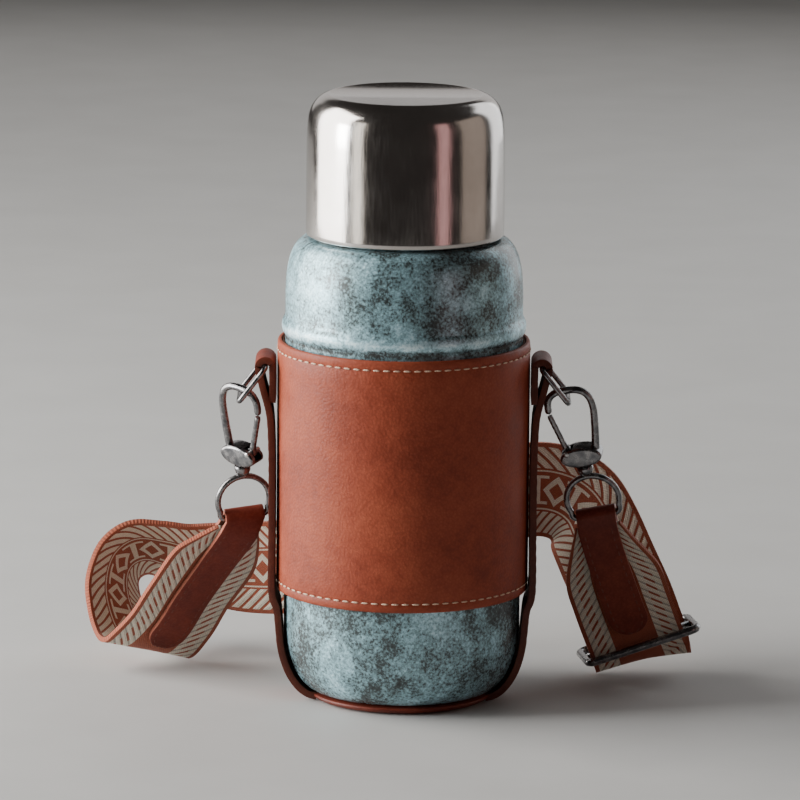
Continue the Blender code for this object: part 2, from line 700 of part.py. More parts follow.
def make_slider():
    """A ladder-shaped slider; the strap folds round its middle bar."""
    front = nearest_at_height(strip_frames(RIGHT_FLAP[:6], 8), SLIDER_Z)
    back = nearest_at_height(strip_frames(STRAP[-4:], 8), SLIDER_Z + 0.6)
    centre = (front[0] + back[0]) / 2
    across = front[1]
    through = (front[0] - back[0]).normalized()
    through = (through - across * through.dot(across)).normalized()
    points = []
    for u, v in rounded_loop(SLIDER_HALF[0], SLIDER_HALF[1], 2.4):
        points.append(centre + across * u + through * v)
    frame = wire("slider_frame", points, SLIDER_WIRE_R, "black_nickel", 8, True)
    reach = SLIDER_HALF[0] - 0.2
    ends = [centre - across * reach, centre + across * reach]
    bar = wire("slider_bar_form", ends, 1.1, None, 8)
    apply_boolean(frame, bar, "UNION")


def main():
    clear_scene()
    make_bottle()
    make_stopper()
    make_cup()
    make_sleeve()
    make_sling()
    make_straps_of_sling()
    for side, sign in (("left", -1), ("right", 1)):
        make_ring(side, sign)
        make_hook(side)
    make_tab("left", STRAP, 1, 54.0, 24.0)
    make_tab("right", RIGHT_FLAP, -1, 42.0, 24.0)
    make_webbing()
    make_slider()


main()
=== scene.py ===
import math

import bmesh
import bpy
from mathutils import Matrix, Vector


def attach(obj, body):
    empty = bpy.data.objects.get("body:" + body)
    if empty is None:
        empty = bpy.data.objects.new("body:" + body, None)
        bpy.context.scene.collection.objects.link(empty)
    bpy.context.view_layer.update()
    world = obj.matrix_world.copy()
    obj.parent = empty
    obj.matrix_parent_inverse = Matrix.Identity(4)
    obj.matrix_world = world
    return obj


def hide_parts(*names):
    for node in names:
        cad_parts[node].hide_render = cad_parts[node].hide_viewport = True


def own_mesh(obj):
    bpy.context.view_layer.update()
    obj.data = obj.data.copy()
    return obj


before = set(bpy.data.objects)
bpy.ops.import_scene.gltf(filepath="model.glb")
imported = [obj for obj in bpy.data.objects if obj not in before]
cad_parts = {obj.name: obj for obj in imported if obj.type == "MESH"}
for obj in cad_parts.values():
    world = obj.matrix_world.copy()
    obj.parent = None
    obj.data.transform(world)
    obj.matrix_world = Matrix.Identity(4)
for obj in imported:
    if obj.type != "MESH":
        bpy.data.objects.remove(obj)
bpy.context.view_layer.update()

MM = 0.001

LENS_MM = 319.5
CAMERA_RISE_DEG = 11.2
CAMERA_ROLL_DEG = 0.5
CAMERA_AWAY_M = 2.3
CAMERA_AIM_M = (-0.00113, 0.0, 0.0977)

BODY_R = 38.4
BASE_Z = 2.6
ROUND_R = (11.4, 22.0)
ROUND_CENTRE = (BODY_R - ROUND_R[0], BASE_Z + ROUND_R[1])
SHOULDER_Z = 151.4
NECK_R = 24.6
LIP_Z = 177.0
CUP_R = 32.0
CUP_BOTTOM_Z = 152.3
CUP_TOP_Z = 198.0
RIB_Z = 122.6
GROOVE_BELOW_RIB = 3.3
THREAD_PITCH = 3.0
THREAD_DEPTH = 0.8
NECK_THREAD_Z = (154.5, 166.0)
STOPPER_THREAD_R = 20.9
STOPPER_THREAD_Z = (163.4, 176.6)
SPRING_R = 3.9
SPRING_Z = (176.9, 183.6)
SPRING_WIRE_R = 0.4
SLEEVE_BOTTOM_Z = 36.0
SLEEVE_TOP_Z = 118.0
SLEEVE_IN_R = 39.55
SLEEVE_OUT_R = 40.9
STITCH_INSET = 3.0
SLING_T = 2.2
BASE_DISC_R = 30.0
LOOP_BAR = (44.7, 109.6)
RING_SPAN = 21.0
RING_WIRE_R = 0.9
HOOK_WIRE_R = 1.2
EYE_WIRE_R = 1.0
EYE_R = 8.6
EYE_AT = 38.0
EYE_BAR_AT = 44.2
WEB_W = 32.0
WEB_T = 1.8
MOTIF_PITCH = 13.0
WEFT_PITCH = 0.9
WARP_PITCH = 0.85
TAB_W = 13.0
TAB_T = 1.6
TAB_GAP = 0.45
SLIDER_HALF = (18.9, 8.7)
SLIDER_Z = 10.4

SIDES = {
    "left": {
        "sign": -1,
        "bar": (-53.0, 0.0, 98.7),
        "down": (0.03, 0.27, -0.962),
        "eye": (0.91, 0.25, 0.02),
        "wide": (0.79, -0.60, -0.14),
        "gate": 1,
    },
    "right": {
        "sign": 1,
        "bar": (53.2, 0.0, 98.9),
        "down": (0.233, 0.265, -0.936),
        "eye": (0.95, -0.12, 0.20),
        "wide": (0.95, -0.20, 0.18),
        "gate": -1,
    },
}

# The webbing's route: centre x, y, z, direction across it, width.
STRAP = [
    (-53.9, 14.4, 51.2, -0.88, -0.30, 0.10, 15),
    (-57.0, 16.9, 46.4, -0.83, -0.41, 0.22, 23),
    (-61.9, 20.8, 39.0, -0.76, -0.53, 0.36, 32),
    (-69.9, 25.6, 26.6, -0.76, -0.54, 0.36, 32),
    (-76.7, 31.0, 14.6, -0.80, -0.50, 0.33, 32),
    (-84.3, 36.0, 6.4, -0.86, -0.43, 0.26, 32),
    (-90.2, 44.6, 9.6, -0.75, -0.60, 0.28, 32),
    (-94.6, 51.5, 17.3, -0.60, -0.72, 0.35, 32),
    (-95.8, 57.2, 23.5, -0.48, -0.76, 0.44, 32),
    (-94.8, 61.2, 28.8, -0.38, -0.76, 0.52, 32),
    (-91.5, 63.9, 32.4, -0.30, -0.74, 0.60, 32),
    (-86.2, 65.7, 33.8, -0.22, -0.70, 0.68, 32),
    (-78.6, 65.9, 32.2, -0.15, -0.62, 0.77, 32),
    (-69.9, 65.0, 29.4, -0.10, -0.48, 0.87, 32),
    (-60.3, 62.4, 28.4, -0.05, -0.29, 0.95, 32),
    (-50.0, 59.5, 28.5, -0.02, -0.14, 0.99, 32),
    (-38.0, 56.5, 29.6, -0.07, -0.04, 0.99, 32),
    (-24.0, 53.0, 33.0, -0.17, 0.00, 0.98, 32),
    (-6.0, 49.5, 40.0, -0.24, 0.00, 0.97, 32),
    (12.0, 50.0, 47.5, -0.24, 0.00, 0.97, 32),
    (28.0, 53.0, 53.5, -0.15, 0.00, 0.99, 32),
    (42.0, 56.5, 56.5, -0.04, -0.03, 1.00, 32),
    (52.0, 57.5, 55.5, 0.08, -0.02, 0.99, 32),
    (59.5, 56.5, 51.0, 0.45, 0.02, 0.88, 32),
    (64.0, 52.5, 43.5, 0.76, 0.04, 0.64, 32),
    (68.8, 47.0, 33.5, 0.90, 0.00, 0.43, 32),
    (73.8, 41.2, 23.6, 0.95, 0.09, 0.27, 32),
    (77.3, 37.7, 15.2, 0.95, 0.18, 0.20, 32),
    (78.9, 36.5, 11.2, 0.95, 0.21, 0.18, 32),
]
RIGHT_FLAP = [
    (63.9, 12.9, 53.8, 0.95, -0.12, 0.20, 15),
    (65.9, 15.2, 46.5, 0.96, -0.08, 0.20, 22),
    (69.0, 18.8, 36.5, 0.96, 0.00, 0.19, 31),
    (72.3, 22.4, 26.5, 0.96, 0.08, 0.18, 32),
    (75.8, 26.4, 16.5, 0.95, 0.18, 0.18, 32),
    (77.9, 29.2, 10.6, 0.95, 0.21, 0.18, 32),
    (79.1, 31.2, 6.9, 0.95, 0.21, 0.18, 32),
    (79.8, 33.0, 5.2, 0.95, 0.21, 0.18, 32),
    (80.2, 35.0, 5.4, 0.95, 0.21, 0.18, 32),
    (79.9, 36.2, 7.4, 0.95, 0.21, 0.18, 32),
    (79.3, 36.5, 9.9, 0.95, 0.21, 0.18, 32),
]


# ---------------------------------------------------------------- camera

def place_camera():
    """A long lens about eleven degrees above level, turned a little about its own axis."""
    data = bpy.data.cameras.new("camera")
    data.lens = LENS_MM
    data.sensor_width = 36.0
    data.clip_end = 20.0
    cam = bpy.data.objects.new("camera", data)
    bpy.context.scene.collection.objects.link(cam)
    height = math.radians(CAMERA_RISE_DEG)
    aim = Vector(CAMERA_AIM_M)
    away = Vector((0.0, -math.cos(height), math.sin(height)))
    turn = away.to_track_quat("Z", "Y").to_matrix().to_4x4()
    roll = Matrix.Rotation(math.radians(CAMERA_ROLL_DEG), 4, "Z")
    cam.matrix_world = Matrix.Translation(aim + away * CAMERA_AWAY_M) @ turn @ roll
    bpy.context.scene.camera = cam


place_camera()


# ------------------------------------------------------------- finishes

def node(tree, kind, inputs=None, **settings):
    """Add a node; inputs are numbers, colours or sockets to link."""
    made = tree.nodes.new(kind)
    for key, value in settings.items():
        setattr(made, key, value)
    for key, value in (inputs or {}).items():
        if isinstance(value, bpy.types.NodeSocket):
            tree.links.new(value, made.inputs[key])
        else:
            made.inputs[key].default_value = value
    return made


def calc(tree, operation, a, b=0.0):
    return node(tree, "ShaderNodeMath", {0: a, 1: b}, operation=operation).outputs[0]


def mult(tree, a, b):
    return calc(tree, "MULTIPLY", a, b)


def plus(tree, a, b):
    return calc(tree, "ADD", a, b)


def less(tree, a, b):
    return calc(tree, "SUBTRACT", a, b)


def over(tree, a, b):
    return calc(tree, "GREATER_THAN", a, b)


def under(tree, a, b):
    return calc(tree, "LESS_THAN", a, b)


def away_from(tree, value, middle):
    """How far value is from middle, either way."""
    return calc(tree, "ABSOLUTE", less(tree, value, middle))


def grey(tree, value):
    """A number as a grey colour, to multiply another colour by."""
    return node(tree, "ShaderNodeCombineColor", {0: value, 1: value, 2: value}).outputs[0]


def feed(shader, name, socket):
    """Link a socket to one of the shader's inputs."""
    shader.id_data.links.new(socket, shader.inputs[name])


def finish(name, roughness, metallic=0.0, colour=(0.5, 0.5, 0.5)):
    """A new surface; returns it with its node tree, shader and object coordinates."""
    mat = bpy.data.materials.new(name)
    mat.use_nodes = True
    tree = mat.node_tree
    shader = tree.nodes["Principled BSDF"]
    shader.inputs["Base Color"].default_value = (*colour, 1.0)
    shader.inputs["Roughness"].default_value = roughness
    shader.inputs["Metallic"].default_value = metallic
    place = node(tree, "ShaderNodeTexCoord").outputs["Object"]
    return mat, tree, shader, place


def stretched(tree, place, scale):
    """Coordinates scaled by a different amount along each axis."""
    return node(tree, "ShaderNodeMapping", {"Vector": place, "Scale": scale}).outputs[0]


def noise(tree, place, scale, detail=3.0, roughness=0.5, distortion=0.0):
    return node(tree, "ShaderNodeTexNoise", {"Vector": place, "Scale": scale, "Detail": detail,
                                             "Roughness": roughness,
                                             "Distortion": distortion}).outputs["Fac"]


def cells(tree, place, scale, feature="F1"):
    return node(tree, "ShaderNodeTexVoronoi", {"Vector": place, "Scale": scale},
                feature=feature).outputs["Distance"]


def ramp(tree, factor, stops):
    """Colours picked by factor; stops are (position, (r, g, b))."""
    made = node(tree, "ShaderNodeValToRGB", {"Fac": factor})
    points = made.color_ramp.elements
    while len(points) < len(stops):
        points.new(0.5)
    for point, (position, colour) in zip(points, stops):
        point.position = position
        point.color = (*colour, 1.0)
    return made.outputs["Color"]


def spread(tree, value, low, high, to_low, to_high):
    return node(tree, "ShaderNodeMapRange", {"Value": value, "From Min": low, "From Max": high,
                                             "To Min": to_low, "To Max": to_high}).outputs[0]


def blend_colour(tree, factor, first, second, kind="MIX"):
    made = node(tree, "ShaderNodeMix", data_type="RGBA", blend_type=kind)
    for index, value in ((0, factor), (6, first), (7, second)):
        socket = made.inputs[index]
        if isinstance(value, bpy.types.NodeSocket):
            tree.links.new(value, socket)
        else:
            socket.default_value = value if isinstance(value, float) else (*value, 1.0)
    return made.outputs[2]


def emboss(tree, shader, height, strength, distance):
    """Raise the surface by height through the shader's normal."""
    made = node(tree, "ShaderNodeBump", {"Height": height, "Strength": strength,
                                         "Distance": distance})
    tree.links.new(made.outputs["Normal"], shader.inputs["Normal"])


def verdigris_patina():
    """Blue-grey oxidised coat: pale bloom over dark metal, in clouds and fine speckle, with a
    painted highlight along the rib and painted shade in the groove below it and at the lower
    right.
    """
    mat, tree, shader, place = finish("verdigris_patina", 0.4, 0.35)
    clouds = noise(tree, place, 30.0, 5.0, 0.6, 0.4)
    blotch = noise(tree, place, 120.0, 8.0, 0.72, 0.3)
    grain = noise(tree, place, 1150.0, 4.0, 0.75)
    flakes = cells(tree, place, 900.0)
    mixed = plus(tree, mult(tree, clouds, 0.40), mult(tree, blotch, 0.36))
    mixed = plus(tree, mixed, mult(tree, grain, 0.36))
    mixed = less(tree, mixed, mult(tree, flakes, 0.06))
    parts = node(tree, "ShaderNodeSeparateXYZ", {0: place})
    height = parts.outputs[2]
    # painted highlight: the patina is made paler along the raised rib
    rib = away_from(tree, height, RIB_Z * MM)
    rib_highlight = spread(tree, rib, 0.0, 0.0020, 0.085, 0.0)
    # painted shade: the patina is darkened in the groove just below the rib
    groove = away_from(tree, height, (RIB_Z - GROOVE_BELOW_RIB) * MM)
    mixed = less(tree, plus(tree, mixed, rib_highlight), spread(tree, groove, 0.0, 0.0014, 0.075, 0.0))
    # painted shade: the patina is darkened towards the bottom on the right-hand side, away from
    # the key light
    low = spread(tree, height, 0.020, 0.115, 0.050, 0.0)
    right = spread(tree, parts.outputs[0], -0.020, 0.030, 0.0, 1.0)
    mixed = less(tree, mixed, mult(tree, low, right))
    colour = ramp(tree, mixed, [(0.42, (0.030, 0.034, 0.034)), (0.48, (0.080, 0.102, 0.104)),
                                (0.53, (0.180, 0.290, 0.320)), (0.59, (0.370, 0.600, 0.680)),
                                (0.68, (0.760, 0.960, 1.000))])
    feed(shader, "Base Color", colour)
    feed(shader, "Roughness", spread(tree, mixed, 0.44, 0.68, 0.24, 0.38))
    emboss(tree, shader, plus(tree, blotch, mult(tree, grain, 0.5)), 0.4, 0.0003)
    return mat


def mirror_steel():
    """Dark polished steel with the faint upright grain of a drawn cup."""
    mat, tree, shader, place = finish("mirror_steel", 0.15, 1.0, (0.50, 0.465, 0.44))
    grain = noise(tree, stretched(tree, place, (1500.0, 1500.0, 160.0)), 1.0, 4.0, 0.6)
    haze = noise(tree, place, 60.0, 5.0, 0.6)
    both = plus(tree, mult(tree, grain, 0.6), mult(tree, haze, 0.4))
    feed(shader, "Roughness", spread(tree, both, 0.35, 0.65, 0.10, 0.21))
    tone = ramp(tree, haze, [(0.3, (0.46, 0.425, 0.40)), (0.7, (0.56, 0.525, 0.50))])
    feed(shader, "Base Color", tone)
    emboss(tree, shader, grain, 0.2, 0.0001)
    return mat


def turned_steel(name, grain_scale, tone):
    """Brushed steel whose marks follow grain_scale."""
    mat, tree, shader, place = finish(name, 0.3, 1.0, tone)
    grain = noise(tree, stretched(tree, place, grain_scale), 1.0, 4.0, 0.55)
    feed(shader, "Roughness", spread(tree, grain, 0.3, 0.7, 0.22, 0.42))
    shade = ramp(tree, grain, [(0.3, tuple(t * 0.82 for t in tone)), (0.7, tone)])
    feed(shader, "Base Color", shade)
    emboss(tree, shader, grain, 0.12, 0.0001)
    return mat


def gunmetal_plate():
    """Black nickel plate, rubbed brighter in places."""
    mat, tree, shader, place = finish("gunmetal_plate", 0.22, 1.0)
    rub = noise(tree, place, 420.0, 5.0, 0.6)
    tone = ramp(tree, rub, [(0.35, (0.105, 0.105, 0.112)), (0.68, (0.30, 0.29, 0.29))])
    feed(shader, "Base Color", tone)
    feed(shader, "Roughness", spread(tree, rub, 0.3, 0.7, 0.14, 0.34))
    emboss(tree, shader, rub, 0.08, 0.0002)
    return mat


def grained_leather(name, deep, mid, light, rough, grain_size=1150.0, strength=0.22):
    """Leather with cell grain, fine creases and slow changes of tone."""
    mat, tree, shader, place = finish(name, rough)
    tone = noise(tree, place, 30.0, 5.0, 0.55)
    mottle = noise(tree, place, 260.0, 6.0, 0.6)
    pores = cells(tree, place, grain_size)
    mixed = plus(tree, mult(tree, tone, 0.6), mult(tree, mottle, 0.4))
    colour = ramp(tree, mixed, [(0.34, deep), (0.50, mid), (0.66, light)])
    dark = ramp(tree, pores, [(0.05, (1.0, 1.0, 1.0)), (0.75, (0.80, 0.76, 0.74))])
    feed(shader, "Base Color", blend_colour(tree, 1.0, colour, dark, "MULTIPLY"))
    feed(shader, "Roughness", spread(tree, mottle, 0.3, 0.7, rough - 0.07, rough + 0.09))
    shader.inputs["Specular IOR Level"].default_value = 0.2
    height = less(tree, mult(tree, mottle, 0.5), pores)
    emboss(tree, shader, height, strength, 0.0003)
    return mat


def rope_border(tree, across, along, slant, pitch):
    """Height of twisted cream strands in the two borders, and where they lie."""
    out = calc(tree, "ABSOLUTE", across)
    inside = mult(tree, over(tree, out, 7.4), under(tree, out, 14.6))
    phase = plus(tree, calc(tree, "DIVIDE", along, pitch), mult(tree, out, slant))
    strand = away_from(tree, calc(tree, "FRACT", phase), 0.5)
    return inside, strand, out


def woven_band(name, motif):
    """Jacquard webbing: rust ground, cream rope borders and, on one face, a cream motif."""
    mat, tree, shader, _ = finish(name, 0.85)
    cloth = node(tree, "ShaderNodeUVMap", uv_map="cloth").outputs["UV"]
    parts = node(tree, "ShaderNodeSeparateXYZ", {0: cloth})
    across = mult(tree, less(tree, parts.outputs[0], 0.5), WEB_W)
    along = mult(tree, parts.outputs[1], WEB_W)
    if motif:
        inside, strand, out = rope_border(tree, across, along, 0.26, 3.6)
        gap = over(tree, strand, 0.34)
    else:
        inside, strand, out = rope_border(tree, across, along, 0.34, 3.0)
        column = away_from(tree, out, 11.0)
        narrow = under(tree, column, 1.5)
        gap = mult(tree, over(tree, strand, 0.32), narrow)
    cream = mult(tree, inside, less(tree, 1.0, gap))
    if motif:
        repeat = calc(tree, "FRACT", calc(tree, "DIVIDE", along, MOTIF_PITCH))
        step = mult(tree, away_from(tree, repeat, 0.5), MOTIF_PITCH)
        lean = plus(tree, mult(tree, step, 1.15), out)
        diamond = mult(tree, under(tree, lean, 5.3), over(tree, lean, 2.9))
        bar = mult(tree, over(tree, step, 5.5), under(tree, out, 4.9))
        tooth = mult(tree, under(tree, away_from(tree, step, 4.3), 1.5), over(tree, out, 3.9))
        tooth = mult(tree, tooth, under(tree, out, 4.9))
        shape = calc(tree, "MAXIMUM", calc(tree, "MAXIMUM", diamond, bar), tooth)
        line = mult(tree, over(tree, out, 6.2), under(tree, out, 6.75))
        cream = calc(tree, "MAXIMUM", cream, calc(tree, "MAXIMUM", shape, line))
    fuzz = noise(tree, stretched(tree, cloth, (60.0, 60.0, 1.0)), 1.0, 5.0, 0.65)
    rust = ramp(tree, fuzz, [(0.3, (0.235, 0.050, 0.022)), (0.7, (0.44, 0.115, 0.052))])
    ivory = ramp(tree, fuzz, [(0.3, (0.62, 0.55, 0.42)), (0.7, (0.90, 0.85, 0.73))])
    lines = grey(tree, spread(tree, strand, 0.28, 0.5, 1.0, 0.42))
    ivory = blend_colour(tree, inside, ivory, blend_colour(tree, 1.0, ivory, lines, "MULTIPLY"))
    colour = blend_colour(tree, cream, rust, ivory)
    ribs = calc(tree, "SINE", mult(tree, along, 2 * math.pi / WEFT_PITCH))
    warp = calc(tree, "SINE", mult(tree, across, 2 * math.pi / WARP_PITCH))
    weave = mult(tree, ribs, warp)
    shade = grey(tree, spread(tree, weave, -1.0, 1.0, 0.72, 1.08))
    feed(shader, "Base Color", blend_colour(tree, 1.0, colour, shade, "MULTIPLY"))
    shader.inputs["Sheen Weight"].default_value = 0.12
    round_strand = mult(tree, inside, less(tree, 0.5, strand))
    height = plus(tree, mult(tree, weave, 0.22), mult(tree, round_strand, 1.5))
    height = plus(tree, height, mult(tree, cream, 0.35))
    height = plus(tree, height, mult(tree, fuzz, 0.25))
    emboss(tree, shader, height, 0.9, 0.0004)
    return mat


def spun_thread(name, pale, deep):
    mat, tree, shader, place = finish(name, 0.75)
    twist = noise(tree, place, 2600.0, 3.0, 0.6)
    feed(shader, "Base Color", ramp(tree, twist, [(0.3, deep), (0.65, pale)]))
    emboss(tree, shader, twist, 0.5, 0.0003)
    return mat


def moulded(name, tone, rough, scale=900.0, strength=0.1):
    """Moulded plastic or rubber with a fine spark-eroded texture."""
    mat, tree, shader, place = finish(name, rough)
    skin = noise(tree, place, scale, 4.0, 0.6)
    shade = ramp(tree, skin, [(0.3, tuple(t * 0.86 for t in tone)), (0.7, tone)])
    feed(shader, "Base Color", shade)
    feed(shader, "Roughness", spread(tree, skin, 0.3, 0.7, rough - 0.06, rough + 0.08))
    emboss(tree, shader, skin, strength, 0.0002)
    return mat


PATINA = verdigris_patina()
CUP_STEEL = mirror_steel()
INNER_STEEL = turned_steel("inner_steel", (70.0, 70.0, 2600.0), (0.56, 0.55, 0.54))
PIN_STEEL = turned_steel("pin_steel", (900.0, 900.0, 900.0), (0.50, 0.49, 0.48))
GUNMETAL = gunmetal_plate()
SLEEVE_LEATHER = grained_leather("sleeve_leather", (0.215, 0.040, 0.020),
                                 (0.300, 0.061, 0.030), (0.375, 0.086, 0.042), 0.50)
STRAP_LEATHER = grained_leather("strap_leather", (0.125, 0.024, 0.015),
                                (0.180, 0.035, 0.021), (0.240, 0.050, 0.029), 0.46)
LEATHER_EDGE = grained_leather("painted_leather_edge", (0.085, 0.022, 0.015),
                               (0.120, 0.032, 0.020), (0.180, 0.050, 0.030), 0.36, 2200.0, 0.15)
TAB_EDGE = grained_leather("tab_leather_edge", (0.30, 0.085, 0.050),
                           (0.40, 0.125, 0.078), (0.50, 0.175, 0.115), 0.40, 2200.0, 0.15)
SUEDE = grained_leather("suede_lining", (0.105, 0.042, 0.026), (0.150, 0.062, 0.040),
                        (0.200, 0.090, 0.058), 0.85, 2800.0, 0.5)
BAND_PLAIN = woven_band("webbing_plain_face", False)
BAND_MOTIF = woven_band("webbing_motif_face", True)
CREAM_THREAD = spun_thread("cream_thread", (0.80, 0.60, 0.44), (0.46, 0.28, 0.19))
RED_THREAD = spun_thread("red_brown_thread", (0.21, 0.055, 0.034), (0.09, 0.022, 0.015))
BLACK_PLASTIC = moulded("black_plastic", (0.030, 0.030, 0.032), 0.42)
SILICONE = moulded("milky_silicone", (0.70, 0.69, 0.65), 0.55, 500.0, 0.06)
SPRING_WIRE = turned_steel("spring_wire", (1200.0, 1200.0, 1200.0), (0.52, 0.52, 0.53))


# ---------------------------------------------------------------- making

def placed(name, data):
    """A new object in the scene that shows data."""
    obj = bpy.data.objects.new(name, data)
    bpy.context.scene.collection.objects.link(obj)
    return obj


def evaluated_mesh(obj):
    """The object's shape as a new mesh, modifiers applied."""
    bpy.context.view_layer.update()
    return bpy.data.meshes.new_from_object(
        obj.evaluated_get(bpy.context.evaluated_depsgraph_get()))


def piece(name, bm, finishes, body, nodes=(), sharp=35.0):
    """Turn a bmesh in millimetres into a shown piece that rides on body."""
    bmesh.ops.scale(bm, verts=bm.verts, vec=(MM, MM, MM))
    mesh = bpy.data.meshes.new(name)
    bm.to_mesh(mesh)
    bm.free()
    for mat in finishes:
        mesh.materials.append(mat)
    mesh.shade_smooth()
    if sharp:
        mesh.set_sharp_from_angle(angle=math.radians(sharp))
    obj = placed(name, mesh)
    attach(obj, body)
    if nodes:
        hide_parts(*nodes)
    return obj


def arc(centre, radii, start, end, steps):
    """Points of an ellipse arc about centre, from start to end degrees."""
    points = []
    for i in range(steps + 1):
        a = math.radians(start + (end - start) * i / steps)
        points.append((centre[0] + radii[0] * math.cos(a), centre[1] + radii[1] * math.sin(a)))
    return points


def smooth(points, per_span):
    """Catmull-Rom samples through rows of numbers, ends included."""
    rows = [Vector(p) for p in points]
    out = []
    for i in range(len(rows) - 1):
        p0 = rows[max(i - 1, 0)]
        p1, p2 = rows[i], rows[i + 1]
        p3 = rows[min(i + 2, len(rows) - 1)]
        for k in range(per_span):
            t = k / per_span
            out.append(0.5 * (2 * p1 + (p2 - p0) * t + (2 * p0 - 5 * p1 + 4 * p2 - p3) * t ** 2
                              + (3 * p1 - p0 - 3 * p2 + p3) * t ** 3))
    out.append(rows[-1])
    return out


def eased(points, per_span=4):
    """A profile drawn as one smooth line through points."""
    return [(p.x, p.y) for p in smooth([(r, z, 0.0) for r, z in points], per_span)]


def inner_wall(outer, wall):
    """The profile parallel to an outer one, wall thick inside it."""
    inner = []
    for i, (r, z) in enumerate(outer):
        before = outer[max(i - 1, 0)]
        after = outer[min(i + 1, len(outer) - 1)]
        run = Vector((after[0] - before[0], after[1] - before[1])).normalized()
        inner.append((max(0.0, r - run.y * wall), z + run.x * wall))
    return inner


def face_out(bm):
    bmesh.ops.recalc_face_normals(bm, faces=bm.faces)


def turned(profile, segments=144, closed=False):
    """Spin a profile of (radius, height) about the upright axis."""
    bm = bmesh.new()
    verts = [bm.verts.new((r, 0.0, z)) for r, z in profile]
    edges = [bm.edges.new(pair) for pair in zip(verts, verts[1:])]
    if closed:
        edges.append(bm.edges.new((verts[-1], verts[0])))
    bmesh.ops.spin(bm, geom=verts + edges, cent=(0, 0, 0), axis=(0, 0, 1),
                   angle=2 * math.pi, steps=segments, use_merge=True)
    bmesh.ops.remove_doubles(bm, verts=bm.verts, dist=1e-4)
    face_out(bm)
    return bm


def raise_thread(bm, radius, low, high):
    """Push the wall at radius outwards along a helix between two heights."""
    fade = 1.2
    for v in bm.verts:
        r = math.hypot(v.co.x, v.co.y)
        if abs(r - radius) > 0.02 or not low <= v.co.z <= high:
            continue
        turn = math.atan2(v.co.y, v.co.x) / (2 * math.pi)
        wave = max(0.0, math.cos(2 * math.pi * (v.co.z / THREAD_PITCH - turn)))
        ends = max(0.0, min(1.0, (v.co.z - low) / fade, (high - v.co.z) / fade))
        push = 1.0 + THREAD_DEPTH * wave * ends / r
        v.co.x *= push
        v.co.y *= push


def ladder(radius, low, high, rows):
    """An upright wall in many rows, for a thread."""
    return [(radius, low + (high - low) * i / rows) for i in range(rows + 1)]


def side_axes(side):
    """Ring bar centre, down axis, and the across and depth axes of the hook."""
    data = SIDES[side]
    down = Vector(data["down"]).normalized()
    wide = Vector(data["wide"])
    wide = (wide - down * wide.dot(down)).normalized()
    return Vector(data["bar"]), down, wide, down.cross(wide)


def eye_axes(side):
    """Centre of the eye's straight bar, its direction, and the down axis."""
    bar, down, _, _ = side_axes(side)
    across = Vector(SIDES[side]["eye"])
    across = (across - down * across.dot(down)).normalized()
    return bar + down * EYE_BAR_AT, across, down


def run_at(rows, i):
    """The unscaled direction along rows at row i."""
    return Vector(rows[min(i + 1, len(rows) - 1)][:3]) - Vector(rows[max(i - 1, 0)][:3])


def strip_frames(stations, per_span):
    """Centre, across, normal and width along a strip."""
    rows = smooth(stations, per_span)
    frames = []
    for i, row in enumerate(rows):
        run = run_at(rows, i).normalized()
        across = Vector(row[3:6]).normalized()
        across = (across - run * across.dot(run) * 0.5).normalized()
        frames.append((Vector(row[:3]), across, across.cross(run).normalized(), row[6]))
    return frames


def band(frames, columns):
    """A sheet laid along frames, with cloth coordinates; its face is across x run."""
    bm = bmesh.new()
    cloth = bm.loops.layers.uv.new("cloth")
    count = len(frames) - 1
    bmesh.ops.create_grid(bm, x_segments=count, y_segments=columns, size=0.5)
    length = [0.0]
    for before, after in zip(frames, frames[1:]):
        length.append(length[-1] + (after[0] - before[0]).length)
    share = {}
    for v in bm.verts:
        share[v] = (round((v.co.x + 0.5) * count), v.co.y + 0.5)
    for face in bm.faces:
        for loop in face.loops:
            i, t = share[loop.vert]
            loop[cloth].uv = (t, length[i] / WEB_W)
    for v, (i, t) in share.items():
        centre, across, _, width = frames[i]
        v.co = centre + across * width * (t - 0.5)
    bmesh.ops.reverse_faces(bm, faces=bm.faces)
    return bm


def thicken(obj, thickness, rim=0.3):
    """Give a sheet its thickness: face, back and rim take materials 0, 1 and 2."""
    wall = obj.modifiers.new("thickness", "SOLIDIFY")
    wall.thickness = thickness * MM
    wall.offset = 0.0
    wall.material_offset = 1
    wall.material_offset_rim = 2
    if rim:
        soft = obj.modifiers.new("soft_rim", "BEVEL")
        soft.width = rim * MM
        soft.segments = 2
        soft.limit_method = "ANGLE"
        soft.angle_limit = math.radians(60)
    return obj


def rod(points, radius, cyclic=False, swell=None, resolution=5):
    """Round wire along points as a bmesh; swell scales the radius at each point."""
    curve = bpy.data.curves.new("wire", "CURVE")
    curve.dimensions = "3D"
    curve.bevel_depth = radius
    curve.bevel_resolution = resolution
    curve.use_fill_caps = not cyclic
    spline = curve.splines.new("POLY")
    spline.points.add(len(points) - 1)
    for i, point in enumerate(points):
        spline.points[i].co = (*point, 1.0)
        spline.points[i].radius = swell[i] if swell else 1.0
    spline.use_cyclic_u = cyclic
    holder = placed("wire", curve)
    mesh = evaluated_mesh(holder)
    bm = bmesh.new()
    bm.from_mesh(mesh)
    bmesh.ops.remove_doubles(bm, verts=bm.verts, dist=1e-4)
    face_out(bm)
    bpy.data.objects.remove(holder, do_unlink=True)
    bpy.data.curves.remove(curve)
    bpy.data.meshes.remove(mesh)
    return bm


def joined(*parts):
    """Several bmeshes as one."""
    whole = bmesh.new()
    for bm in parts:
        mesh = bpy.data.meshes.new("part")
        bm.to_mesh(mesh)
        bm.free()
        whole.from_mesh(mesh)
        bpy.data.meshes.remove(mesh)
    return whole


